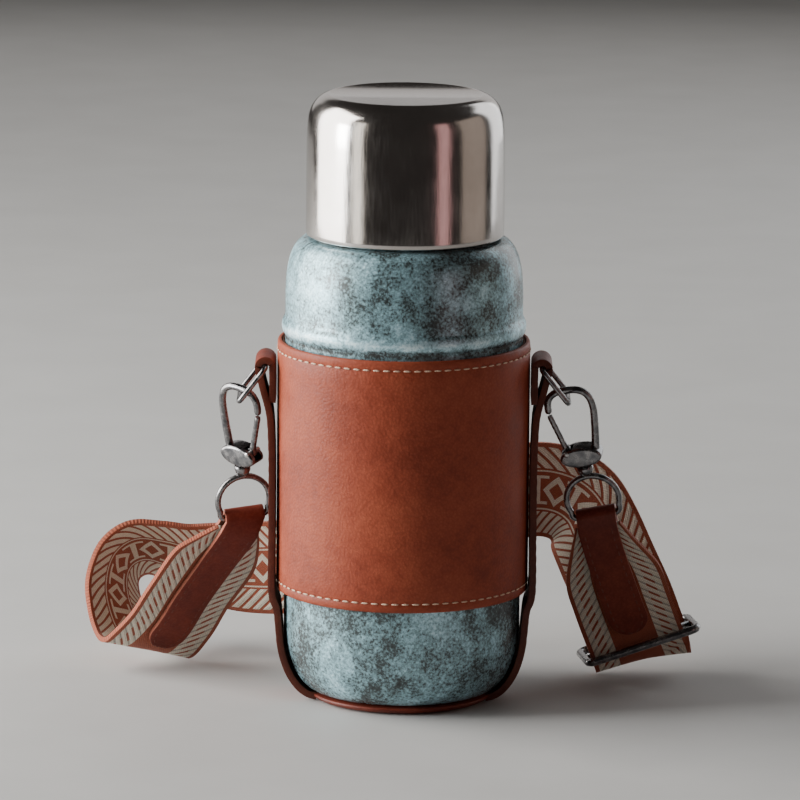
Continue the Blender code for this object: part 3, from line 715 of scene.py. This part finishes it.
def cut(bm, *tools):
    """Cut tools, also bmeshes, out of bm."""
    holders = []
    for part in (bm, *tools):
        mesh = bpy.data.meshes.new("part")
        part.to_mesh(mesh)
        part.free()
        holders.append(placed("part", mesh))
    for tool in holders[1:]:
        mod = holders[0].modifiers.new("cut", "BOOLEAN")
        mod.operation = "DIFFERENCE"
        mod.solver = "EXACT"
        mod.object = tool
    mesh = evaluated_mesh(holders[0])
    out = bmesh.new()
    out.from_mesh(mesh)
    for holder in holders:
        bpy.data.meshes.remove(holder.data)
    bpy.data.meshes.remove(mesh)
    return out


def rounded_loop(half_u, half_v, corner, steps=8):
    """Points of a rectangle with round corners, in its own plane."""
    points = []
    for su, sv, start in ((1, 1, 0), (-1, 1, 90), (-1, -1, 180), (1, -1, 270)):
        centre = (su * (half_u - corner), sv * (half_v - corner))
        points += arc(centre, (corner, corner), start, start + 90, steps)
    return points


def moved(bm, matrix):
    bmesh.ops.transform(bm, verts=bm.verts, matrix=matrix)


def aligned(origin, x_axis, y_axis, z_axis):
    """The matrix that takes a shape from its own axes to these."""
    turn = Matrix((x_axis, y_axis, z_axis)).transposed().to_4x4()
    return Matrix.Translation(origin) @ turn


def sew(bm, path, pitch, length, breadth, proud):
    """Stitches along path, a list of (point, outward)."""
    at = pitch / 2
    walked = 0.0
    for (a, out_a), (b, out_b) in zip(path, path[1:]):
        step = (b - a).length
        while at <= walked + step and step > 0:
            share = (at - walked) / step
            run = (b - a).normalized()
            out = out_a.lerp(out_b, share)
            out = (out - run * out.dot(run)).normalized()
            spot = a.lerp(b, share)
            turn = aligned(spot, run * (length / 2), run.cross(out) * (breadth / 2), out * proud)
            bmesh.ops.create_uvsphere(bm, u_segments=8, v_segments=5, radius=1.0, matrix=turn)
            at += pitch
        walked += step


# ---------------------------------------------------------- steel bottle

def make_bottle():
    outer = [(ROUND_CENTRE[0], BASE_Z)]
    outer += arc(ROUND_CENTRE, ROUND_R, -82, 0, 24)
    outer += [(BODY_R, 70.0), (BODY_R, 117.5)]
    outer += eased([(BODY_R, 118.8), (38.6, 119.9), (39.2, 121.0), (39.5, 122.3), (39.45, 123.6),
                    (39.1, 124.7), (38.6, 125.6), (BODY_R, 126.8)])
    outer += eased([(BODY_R, 131.0), (38.35, 135.0), (38.0, 140.0), (37.25, 144.0), (36.2, 147.0),
                    (34.7, 149.4), (32.8, 150.9), (30.8, SHOULDER_Z)], 5)
    outer += [(NECK_R + 0.6, SHOULDER_Z), (NECK_R + 0.15, SHOULDER_Z + 0.2)]
    outer += [(NECK_R, SHOULDER_Z + 0.8), (NECK_R, LIP_Z - 0.8), (NECK_R - 0.2, LIP_Z - 0.2)]
    outer += [(NECK_R - 0.5, LIP_Z)]
    bm = turned(outer + inner_wall(outer, 0.95)[::-1], 176, True)
    piece("patina_shell", bm, [PATINA], "bottle", ["bottle_shell"])

    neck = NECK_R - 1.0 - 0.45
    outer = [(0.0, 9.0), (20.0, 9.0)] + arc((20.0, 24.0), (15.6, 15.0), -80, 0, 14)
    outer += [(35.6, 80.0)] + eased([(35.6, 137.0), (35.2, 140.5), (34.3, 143.6), (32.0, 147.0),
                                     (28.0, 149.2), (neck + 0.8, 149.9)])
    outer += [(neck, 151.0), (neck, LIP_Z - 0.5), (neck - 0.2, LIP_Z - 0.3)]
    bm = turned(outer + inner_wall(outer, 0.8)[::-1], 96)
    piece("steel_liner", bm, [INNER_STEEL], "bottle", ["bottle_liner"])

    cap = [(0.0, BASE_Z + 1.4), (8.0, BASE_Z + 1.4), (8.6, BASE_Z + 1.7), (9.4, BASE_Z + 1.4)]
    cap += [(20.0, BASE_Z + 1.4), (21.0, BASE_Z + 1.1), (22.0, BASE_Z + 0.7)]
    cap += [(26.3, BASE_Z + 0.7), (26.6, BASE_Z + 0.9), (26.6, BASE_Z + 1.6)]
    cap += [(22.4, BASE_Z + 1.6), (20.4, BASE_Z + 2.3), (0.0, BASE_Z + 2.3)]
    piece("steel_base_cap", turned(cap, 96), [INNER_STEEL], "bottle", ["bottle_base_cap"])

    low, high = NECK_THREAD_Z
    wall = ladder(NECK_R + 0.8, low, high, 46)
    bm = turned(wall + [(NECK_R + 0.3, high), (NECK_R + 0.3, low)], 96, True)
    raise_thread(bm, NECK_R + 0.8, low, high)
    piece("neck_thread", bm, [INNER_STEEL], "bottle", ["neck_collar"])


def make_stopper():
    low, high = STOPPER_THREAD_Z
    profile = [(2.4, 160.0), (16.9, 160.0), (16.9, 163.1), (20.6, 163.1)]
    profile += ladder(STOPPER_THREAD_R, low, high, 52)
    profile += [(STOPPER_THREAD_R, 177.4), (24.1, 177.5), (24.5, 177.8), (24.6, 178.4)]
    profile += [(24.4, 179.4)]
    profile += [(23.8, 179.8), (19.8, 180.3), (19.3, 180.8), (19.15, 181.6), (19.1, 184.5)]
    profile += [(19.0, 186.7), (18.6, 187.5), (17.8, 187.9), (10.4, 187.9), (9.7, 187.7)]
    profile += [(9.4, 187.2), (9.4, 176.0), (2.4, 176.0)]
    bm = turned(profile, 144, True)
    raise_thread(bm, STOPPER_THREAD_R, low, high)
    for v in bm.verts:
        r = math.hypot(v.co.x, v.co.y)
        if 18.9 < r < 19.3 and 181.0 < v.co.z < 187.2:
            rib = math.cos(math.atan2(v.co.y, v.co.x) * 36)
            push = 1.0 - 0.3 * (1.0 + rib) / r
            v.co.x *= push
            v.co.y *= push
    piece("stopper_knob", bm, [BLACK_PLASTIC], "stopper", ["stopper_body"])
    button = [(0.0, 184.6), (5.4, 184.6), (5.4, 180.4), (8.4, 180.4), (9.0, 181.4), (9.0, 187.4)]
    button += [(8.85, 187.9), (8.5, 188.3), (7.8, 188.5), (6.0, 188.35), (3.0, 188.2)]
    button += [(0.0, 188.15)]
    piece("pour_button_cap", turned(button, 72), [BLACK_PLASTIC], "pour_button", ["pour_button"])


def make_spring():
    """The return spring, built as a fixed coil; the real one closes up as the button goes down."""
    turns, steps = 5, 24
    low, high = SPRING_Z
    coil = []
    for i in range(turns * steps + 1):
        a = 2 * math.pi * i / steps
        z = low + (high - low) * i / (turns * steps)
        coil.append(Vector((SPRING_R * math.cos(a), SPRING_R * math.sin(a), z)))
    spring = piece("return_spring", rod(coil, SPRING_WIRE_R, resolution=3), [SPRING_WIRE],
                   "stopper", ["button_spring"], 0)
    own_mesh(spring)


def make_cup():
    outer = [(CUP_R - 0.7, CUP_BOTTOM_Z), (CUP_R - 0.3, CUP_BOTTOM_Z + 0.1)]
    outer += [(CUP_R - 0.1, CUP_BOTTOM_Z + 0.5), (CUP_R, 154.0), (CUP_R, 160.0)]
    outer += [(CUP_R - 0.03, 172.0), (CUP_R - 0.12, 183.0)]
    outer += eased([(CUP_R - 0.2, 186.0), (CUP_R - 0.5, 189.5), (31.0, 192.0), (30.1, 194.2),
                    (28.6, 196.1), (26.9, 197.3), (25.4, 197.85)], 5)
    outer += [(24.9, 198.0), (24.5, CUP_TOP_Z), (24.1, 197.8), (0.0, 197.75)]
    inner = inner_wall(outer, 0.9)
    inner[-1] = (0.0, CUP_TOP_Z - 1.0)
    piece("cup_steel", turned(outer[::-1] + inner, 176), [CUP_STEEL], "cup", ["cup_shell"])
    outer = [(30.2, CUP_BOTTOM_Z + 1.1), (30.1, 160.0)]
    outer += eased([(30.0, 184.0), (29.7, 188.0), (28.6, 191.6), (26.6, 193.9), (24.0, 194.9),
                    (20.0, 195.5)])
    outer += [(0.0, 195.5)]
    inner = inner_wall(outer, 0.8)
    inner[-1] = (0.0, 194.7)
    piece("cup_lining_steel", turned(outer[::-1] + inner, 112), [INNER_STEEL], "cup_inner",
          ["cup_liner"])


# ------------------------------------------------------ sleeve and sling

def make_sleeve():
    """The wrapped panel: rolled edges, and a pressed channel under each row of stitches."""
    low, high = SLEEVE_BOTTOM_Z, SLEEVE_TOP_Z
    out = SLEEVE_OUT_R
    side = [(out - 0.75, low), (out - 0.35, low + 0.15), (out - 0.12, low + 0.5)]
    side += [(out - 0.05, low + 1.1)]
    for middle in (low + STITCH_INSET, high - STITCH_INSET):
        side += [(out, middle - 0.9), (out - 0.10, middle - 0.5), (out - 0.22, middle)]
        side += [(out - 0.10, middle + 0.5), (out, middle + 0.9)]
        if middle < 60:
            side += [(out + 0.02, low + (high - low) * i / 10) for i in range(1, 10)]
    side += [(out - 0.05, high - 1.1), (out - 0.12, high - 0.5), (out - 0.3, high - 0.15)]
    side += [(out - 0.65, high), (SLEEVE_IN_R + 0.1, high), (SLEEVE_IN_R, high - 0.2)]
    side += [(SLEEVE_IN_R, low + 0.2), (SLEEVE_IN_R + 0.1, low)]
    piece("leather_sleeve", turned(side, 176, True), [SLEEVE_LEATHER], "harness",
          ["sleeve_panel"], 50.0)
    thread = bmesh.new()
    for z in (low + STITCH_INSET, high - STITCH_INSET):
        ring = []
        for i in range(361):
            a = math.radians(112.0 + 316.0 * i / 360)
            out_dir = Vector((math.cos(a), math.sin(a), 0.0))
            ring.append((out_dir * (out - 0.02) + Vector((0, 0, z)), out_dir))
        sew(thread, ring, 3.3, 2.5, 0.58, 0.28)
    piece("sleeve_stitches", thread, [CREAM_THREAD], "harness", sharp=0)


def make_rear_strip():
    """The strip over the sleeve's seam, sewn down both sides."""
    mid_r = SLEEVE_OUT_R + 0.3 + 0.65
    rows = []
    for i in range(25):
        z = SLEEVE_BOTTOM_Z + 0.7 + (SLEEVE_TOP_Z - SLEEVE_BOTTOM_Z - 1.4) * i / 24
        rows.append((Vector((0.0, mid_r, z)), Vector((1, 0, 0)), Vector((0, 1, 0)), 15.6))
    bm = band(rows, 12)
    for v in bm.verts:
        a = v.co.x / mid_r
        v.co.x = mid_r * math.sin(a)
        v.co.y = mid_r * math.cos(a)
    strip = piece("rear_strip", bm, [STRAP_LEATHER, SUEDE, LEATHER_EDGE], "harness",
                  ["rear_seam_strip"], 0)
    thicken(strip, 1.25, 0.3)
    thread = bmesh.new()
    for side in (-1, 1):
        a = side * 5.9 / mid_r
        out_dir = Vector((math.sin(a), math.cos(a), 0.0))
        line = []
        for z in (SLEEVE_BOTTOM_Z + 1.5, SLEEVE_TOP_Z - 1.5):
            line.append((out_dir * (mid_r + 0.63) + Vector((0, 0, z)), out_dir))
        sew(thread, line, 3.6, 2.65, 0.62, 0.3)
    piece("rear_strip_stitches", thread, [CREAM_THREAD], "harness", sharp=0)


def sling_frames(sign):
    """Centre, across, normal and width of the sling's leather on one side."""
    t = SLING_T
    wall_r = SLEEVE_OUT_R + 0.3 + t / 2
    bar_r, bar_z = LOOP_BAR
    bend = RING_WIRE_R + 0.3 + t / 2
    clear = 0.3 + t / 2 + 0.05
    path = arc(ROUND_CENTRE, (ROUND_R[0] + clear, ROUND_R[1] + clear), -88, -6, 10)
    path += [(40.6, 30.0), (wall_r, 36.0), (wall_r, 55.0), (wall_r, 72.0)]
    path += [(wall_r + 0.2, 84.0), (wall_r + 0.9, 94.0), (bar_r + 0.7, 102.5)]
    path += arc((bar_r, bar_z), (bend, bend), -18, 176, 8)
    path += [(wall_r, 104.5), (wall_r, 100.0), (wall_r, 98.0)]
    rows = []
    for i, (r, z) in enumerate(path):
        share = max(0.0, min(1.0, (i - 13) / 4))
        rows.append((sign * r, 0.0, z, 20.0 - 3.6 * share))
    rows = smooth(rows, 5)
    frames = []
    for i, row in enumerate(rows):
        across = Vector((0, sign, 0))
        normal = across.cross(run_at(rows, i)).normalized()
        frames.append((Vector(row[:3]), across, normal, row[3] - 0.1))
    return frames


def make_sling():
    disc = [(0.0, 0.0), (BASE_DISC_R - 2.4, 0.0), (BASE_DISC_R - 1.3, 0.3)]
    disc += [(BASE_DISC_R - 0.4, 1.0)]
    disc += [(BASE_DISC_R, SLING_T - 0.7), (BASE_DISC_R - 0.2, SLING_T - 0.2)]
    disc += [(BASE_DISC_R - 0.7, SLING_T), (0.0, SLING_T)]
    piece("sling_base", turned(disc, 128), [STRAP_LEATHER], "harness", ["base_disc"])
    for side, data in SIDES.items():
        sign = data["sign"]
        frames = sling_frames(sign)
        strap = piece(f"{side}_sling_strap", band(frames, 10),
                      [STRAP_LEATHER, SUEDE, LEATHER_EDGE], "harness", [f"{side}_side_strap"],
                      0)
        thicken(strap, SLING_T - 0.05, 0.35)
        thread = bmesh.new()
        outward = Vector((sign, 0, 0))
        skin = SLING_T / 2 + 0.02
        for edge in (-1, 1):
            line = []
            for centre, across, normal, width in frames:
                if 10.0 < centre.z < 99.5 and abs(centre.x) < LOOP_BAR[0]:
                    face = normal if normal.dot(outward) > 0 else -normal
                    line.append((centre + across * edge * (width / 2 - 2.0) + face * skin, face))
            sew(thread, line, 3.6, 2.6, 0.6, 0.1)
        piece(f"{side}_sling_stitches", thread, [RED_THREAD], "harness",
              sharp=0)


# ------------------------------------------------------ rings and hooks

def make_ring(side):
    bar_r, bar_z = LOOP_BAR
    top = Vector((SIDES[side]["sign"] * bar_r, 0, bar_z))
    low = Vector(SIDES[side]["bar"])
    middle = (top + low) / 2
    v_axis = (top - low).normalized()
    loop = rounded_loop(RING_SPAN / 2, (top - low).length / 2, 1.7)
    points = [middle + Vector((0, 1, 0)) * u + v_axis * v for u, v in loop]
    piece(f"{side}_wire_ring", rod(points, RING_WIRE_R, True), [GUNMETAL], f"{side}_ring",
          [f"{side}_ring"], 0)


def barrel(origin, wide, down, depth):
    """The oval block that holds the gate and the swivel, edges rounded over."""
    bm = bmesh.new()
    disc = bmesh.ops.create_circle(bm, cap_ends=True, segments=56, radius=1.0)
    bmesh.ops.scale(bm, verts=disc["verts"], vec=(6.9, 3.5, 1.0))
    bmesh.ops.translate(bm, verts=disc["verts"], vec=(0, -21.2, -3.1))
    grown = bmesh.ops.extrude_face_region(bm, geom=bm.faces[:])
    raised = [g for g in grown["geom"] if isinstance(g, bmesh.types.BMVert)]
    bmesh.ops.translate(bm, verts=raised, vec=(0, 0, 6.2))
    face_out(bm)
    rims = [e for e in bm.edges if abs(e.verts[0].co.z - e.verts[1].co.z) < 0.01]
    bmesh.ops.bevel(bm, geom=rims, offset=0.9, offset_type="OFFSET", segments=4, profile=0.5,
                    affect="EDGES", material=-1)
    moved(bm, aligned(origin, wide, -down, depth))
    face_out(bm)
    return bm


def block_between(place, h_range, v_range, half_n):
    """A cutting block in a hook's own plane."""
    bm = bmesh.new()
    made = bmesh.ops.create_cube(bm, size=1.0)
    for v in made["verts"]:
        h = h_range[0] if v.co.x < 0 else h_range[1]
        z = v_range[0] if v.co.y < 0 else v_range[1]
        v.co = place(h, z, half_n * 2 * v.co.z)
    face_out(bm)
    return bm


def turned_about(place, profile, segments=40):
    """A turned shape about a hook's long axis."""
    bm = turned(profile, segments)
    origin = place(0, 0)
    x_axis = place(1, 0) - origin
    z_axis = place(0, 1) - origin
    moved(bm, aligned(origin, x_axis, z_axis.cross(x_axis), z_axis))
    face_out(bm)
    return bm


def make_hook(side):
    bar, down, wide, depth = side_axes(side)
    hand = -SIDES[side]["gate"]

    def place(h, v, n=0.0):
        return bar + wide * (hand * h) - down * v + depth * n

    spine = [(5.0, -19.5), (6.0, -14.5), (6.9, -9.0), (7.4, -4.5), (7.0, -1.0), (5.6, 1.3)]
    spine += [(3.2, 2.5), (0.0, 2.8), (-3.2, 2.5), (-5.6, 1.2), (-7.0, -1.2), (-7.4, -4.9)]
    spots = smooth([(h, v, 0) for h, v in spine], 6)
    swell = [1.12 - 0.12 * min(1.0, i / 20) for i in range(len(spots))]
    for back, size in ((1, 0.35), (2, 0.8), (3, 0.95)):
        swell[-back] = size
    bow = rod([place(p.x, p.y) for p in spots], HOOK_WIRE_R, swell=swell)
    slot = block_between(place, (-8.4, -2.2), (-21.3, -14.0), 1.5)
    bore = turned_about(place, [(0, -20.9), (2.9, -20.9), (2.9, -22.5), (2.1, -22.5), (2.1, -27.0),
                                (0, -27.0)][::-1])
    block = cut(barrel(bar, wide * hand, down, depth), slot, bore)
    piece(f"{side}_hook_bow", joined(bow, block), [GUNMETAL], f"{side}_hook",
          [f"{side}_hook_frame"], 40.0)

    heel = place(-4.4, -19.3)
    pin = [(0.0, -3.35), (0.5, -3.3), (0.85, -3.1), (0.85, 3.1), (0.5, 3.3), (0.0, 3.35)]
    bm = turned(pin, 24)
    on_heel = aligned(heel, wide, depth.cross(wide), depth)
    moved(bm, on_heel)
    piece(f"{side}_pivot_pin", bm, [PIN_STEEL], f"{side}_hook", [f"{side}_gate_pin"],
          40.0)

    nose = place(-7.3, -5.6)
    lean = (nose - heel).normalized()
    reach = [-0.9, 0.0, 1.5, 4.0, 8.0, 12.0, 13.3, 13.9]
    thick = [0.9, 1.05, 1.05, 0.98, 0.96, 0.98, 1.0, 0.85]
    stalk = rod([heel + lean * r for r in reach], 1.0, swell=thick)
    knuckle = [(0.95, -1.1), (1.5, -1.1), (1.7, -0.85), (1.7, 0.85), (1.5, 1.1), (0.95, 1.1)]
    round_end = turned(knuckle, 32, True)
    moved(round_end, on_heel)
    piece(f"{side}_spring_gate", joined(stalk, round_end), [GUNMETAL], f"{side}_gate",
          [f"{side}_gate"], 40.0)

    stem = [(0.0, -21.3), (2.2, -21.3), (2.4, -21.5), (2.4, -22.0), (2.2, -22.2), (1.7, -22.3)]
    stem += [(1.65, -24.8), (1.8, -25.1), (2.4, -25.3), (2.65, -25.7), (2.65, -26.8)]
    stem += [(2.4, -27.5), (1.9, -28.4), (1.0, -29.1), (0.0, -29.2)]
    bar_centre, across, down = eye_axes(side)
    drop = EYE_BAR_AT - EYE_AT
    centre = bar_centre - down * drop
    start = -math.degrees(math.asin(3.2 / EYE_R))
    outline = arc((0, 0), (EYE_R, EYE_R), start, 180 - start, 48)
    outline += arc((-EYE_R + 2.6, -drop + 2.0), (2.0, 2.0), 200, 270, 6)
    outline += arc((EYE_R - 2.6, -drop + 2.0), (2.0, 2.0), 270, 340, 6)
    loop = rod([centre + across * u - down * v for u, v in outline], EYE_WIRE_R, True)
    piece(f"{side}_swivel", joined(turned_about(place, stem[::-1]), loop), [GUNMETAL], "harness",
          [f"{side}_swivel_eye"], 40.0)


# --------------------------------------------------- tabs and webbing

def leg(frames, distance, length):
    """The first stretch of a strip, moved off its face, with a half-round end."""
    kept = []
    run = 0.0
    for i, (centre, across, normal) in enumerate(f[:3] for f in frames):
        if i:
            run += (centre - frames[i - 1][0]).length
        if run > length:
            break
        short = max(0.0, 1.0 - (length - run) / (TAB_W / 2))
        width = TAB_W * math.sqrt(max(0.02, 1.0 - short ** 2))
        kept.append((centre + normal * distance, across, normal, width))
    return kept


def make_tab(side, flap, front_sign, front_len, back_len):
    """Leather folded round the eye's bar, a sewn leg on each face of the webbing."""
    centre, across, down = eye_axes(side)
    gap = WEB_T / 2 + TAB_GAP + TAB_T / 2
    frames = [(c, x, n * front_sign, w) for c, x, n, w in strip_frames(flap, 24)]
    if across.dot(frames[0][1]) < 0:
        across = -across
    front = leg(frames, gap, front_len)
    back = leg(frames, -gap, back_len)
    normal = front[0][2]
    fold = []
    for i in range(1, 12):
        a = math.pi * i / 12
        out = normal * math.cos(a) - down * math.sin(a)
        fold.append((centre + out * gap, across, out, TAB_W))
    back = [(c, x, -n, w) for c, x, n, w in back]
    rows = front[::-1] + fold + back
    bm = band(rows, 8)
    face = max(bm.faces, key=lambda f: -(f.calc_center_median() - front[20][0]).length)
    if face.normal.dot(front[20][2]) < 0:
        bmesh.ops.reverse_faces(bm, faces=bm.faces)
    tab = piece(f"{side}_leather_tab", bm, [STRAP_LEATHER, SUEDE, TAB_EDGE], "harness",
                [f"{side}_tab"], 0)
    thicken(tab, TAB_T, 0.3)
    thread = bmesh.new()
    inset = 1.9
    right = []
    left = []
    for spot, x, n, w in front:
        if w > 2 * inset + 0.6:
            right.append((spot + x * (w / 2 - inset) + n * (TAB_T / 2), n))
            left.append((spot - x * (w / 2 - inset) + n * (TAB_T / 2), n))
    sew(thread, right + left[::-1], 2.9, 2.0, 0.5, 0.16)
    piece(f"{side}_tab_stitches", thread, [RED_THREAD], "harness", sharp=0)


def make_webbing():
    """One length of webbing from eye to eye, through the slider and back up."""
    frames = strip_frames(STRAP, 7)
    frames += strip_frames(RIGHT_FLAP, 7)[::-1]
    bm = band(frames, 14)
    bm.faces.ensure_lookup_table()
    near = min(bm.faces, key=lambda f: (f.calc_center_median() - frames[20][0]).length)
    if near.normal.dot(frames[20][2]) < 0:
        bmesh.ops.reverse_faces(bm, faces=bm.faces)
    strap = piece("webbing_strap", bm, [BAND_PLAIN, BAND_MOTIF, BAND_PLAIN], "harness",
                  ["strap_left_flap", "strap_left_loop", "strap_back_run", "strap_right_turn",
                   "strap_right_flap"], 0)
    thicken(strap, WEB_T - 0.1, 0.35)


def nearest_at_height(frames, z):
    return min(frames, key=lambda f: abs(f[0].z - z))


def make_slider():
    """A ladder slider of square-cornered wire; the webbing folds round its middle bar."""
    front = nearest_at_height(strip_frames(RIGHT_FLAP[:6], 8), SLIDER_Z)
    back = nearest_at_height(strip_frames(STRAP[-4:], 8), SLIDER_Z + 0.6)
    centre = (front[0] + back[0]) / 2
    across = front[1]
    through = (front[0] - back[0]).normalized()
    through = (through - across * through.dot(across)).normalized()
    points = []
    for u, v in rounded_loop(SLIDER_HALF[0], SLIDER_HALF[1], 2.4):
        points.append(centre + across * u + through * v)
    reach = SLIDER_HALF[0] - 0.2
    bar = rod([centre - across * reach, centre + across * reach], 1.1)
    piece("strap_slider", joined(rod(points, 1.35, True), bar), [GUNMETAL], "harness",
          ["slider_frame"], 0)


make_bottle()
make_stopper()
make_spring()
make_cup()
make_sleeve()
make_rear_strip()
make_sling()
for side in SIDES:
    make_ring(side)
    make_hook(side)
make_tab("left", STRAP, 1, 54.0, 24.0)
make_tab("right", RIGHT_FLAP, -1, 42.0, 24.0)
make_webbing()
make_slider()

for name, mat in (("pour_valve", BLACK_PLASTIC), ("valve_seal", SILICONE),
                  ("stopper_gasket", SILICONE), ("cup_seal", SILICONE),
                  ("cup_thread_ring", BLACK_PLASTIC), ("sleeve_lining", SUEDE)):
    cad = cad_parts[name]
    if not cad.material_slots:
        cad.data.materials.append(mat)
    for slot in cad.material_slots:
        slot.material = mat


# ------------------------------------------------------------- the studio

def make_floor():
    """A long pale floor that reaches further behind the bottle than in front of it."""
    mat, tree, shader, place = finish("pale_floor", 0.6)
    tooth = noise(tree, place, 25.0, 4.0, 0.5)
    tone = ramp(tree, tooth, [(0.3, (0.50, 0.495, 0.485)), (0.7, (0.53, 0.525, 0.515))])
    feed(shader, "Base Color", tone)
    bm = bmesh.new()
    disc = bmesh.ops.create_circle(bm, cap_ends=True, segments=128, radius=1.0)
    bmesh.ops.scale(bm, verts=disc["verts"], vec=(1.0, 2.9, 1.0))
    bmesh.ops.translate(bm, verts=disc["verts"], vec=(0, 2.4, -0.0003))
    mesh = bpy.data.meshes.new("floor")
    bm.to_mesh(mesh)
    bm.free()
    mesh.materials.append(mat)
    placed("floor", mesh)


def soft_light(name, azimuth, distance, height, size, power, colour=(1.0, 1.0, 1.0)):
    """An area light at azimuth degrees left of the front, aimed at the bottle."""
    data = bpy.data.lights.new(name, "AREA")
    data.shape = "RECTANGLE"
    data.size = size[0]
    data.size_y = size[1]
    data.energy = power
    data.color = colour
    lamp = bpy.data.objects.new(name, data)
    a = math.radians(azimuth)
    spot = Vector((-math.sin(a) * distance, -math.cos(a) * distance, height))
    lamp.matrix_world = Matrix.Translation(spot) @ (
        spot - Vector((0, 0, 0.1))).to_track_quat("Z", "Y").to_matrix().to_4x4()
    bpy.context.scene.collection.objects.link(lamp)


def make_studio():
    """A tall key light to the left, narrow cards for the cup to reflect, and a dim room."""
    make_floor()
    soft_light("key_light", 97, 1.1, 0.38, (1.05, 1.5), 48.0, (1.0, 0.985, 0.95))
    soft_light("left_strip", 57, 1.25, 0.25, (0.26, 1.0), 2.2, (1.0, 0.97, 0.88))
    soft_light("pink_card", -45, 1.2, 0.25, (0.30, 1.0), 0.8, (1.0, 0.55, 0.55))
    soft_light("warm_card", -87, 1.2, 0.30, (0.85, 1.0), 1.1, (1.0, 0.84, 0.72))
    soft_light("right_strip", -137, 1.2, 0.45, (0.85, 1.2), 7.0, (0.95, 0.98, 1.0))
    soft_light("back_card", 180, 1.5, 0.50, (1.6, 0.6), 2.0, (1.0, 0.97, 0.95))
    soft_light("hot_spot", 78, 0.95, 0.24, (0.26, 0.34), 7.0, (0.94, 0.98, 1.0))
    world = bpy.data.worlds.new("studio")
    world.use_nodes = True
    back = world.node_tree.nodes["Background"]
    back.inputs["Color"].default_value = (0.30, 0.275, 0.26, 1.0)
    back.inputs["Strength"].default_value = 0.13
    bpy.context.scene.world = world


make_studio()
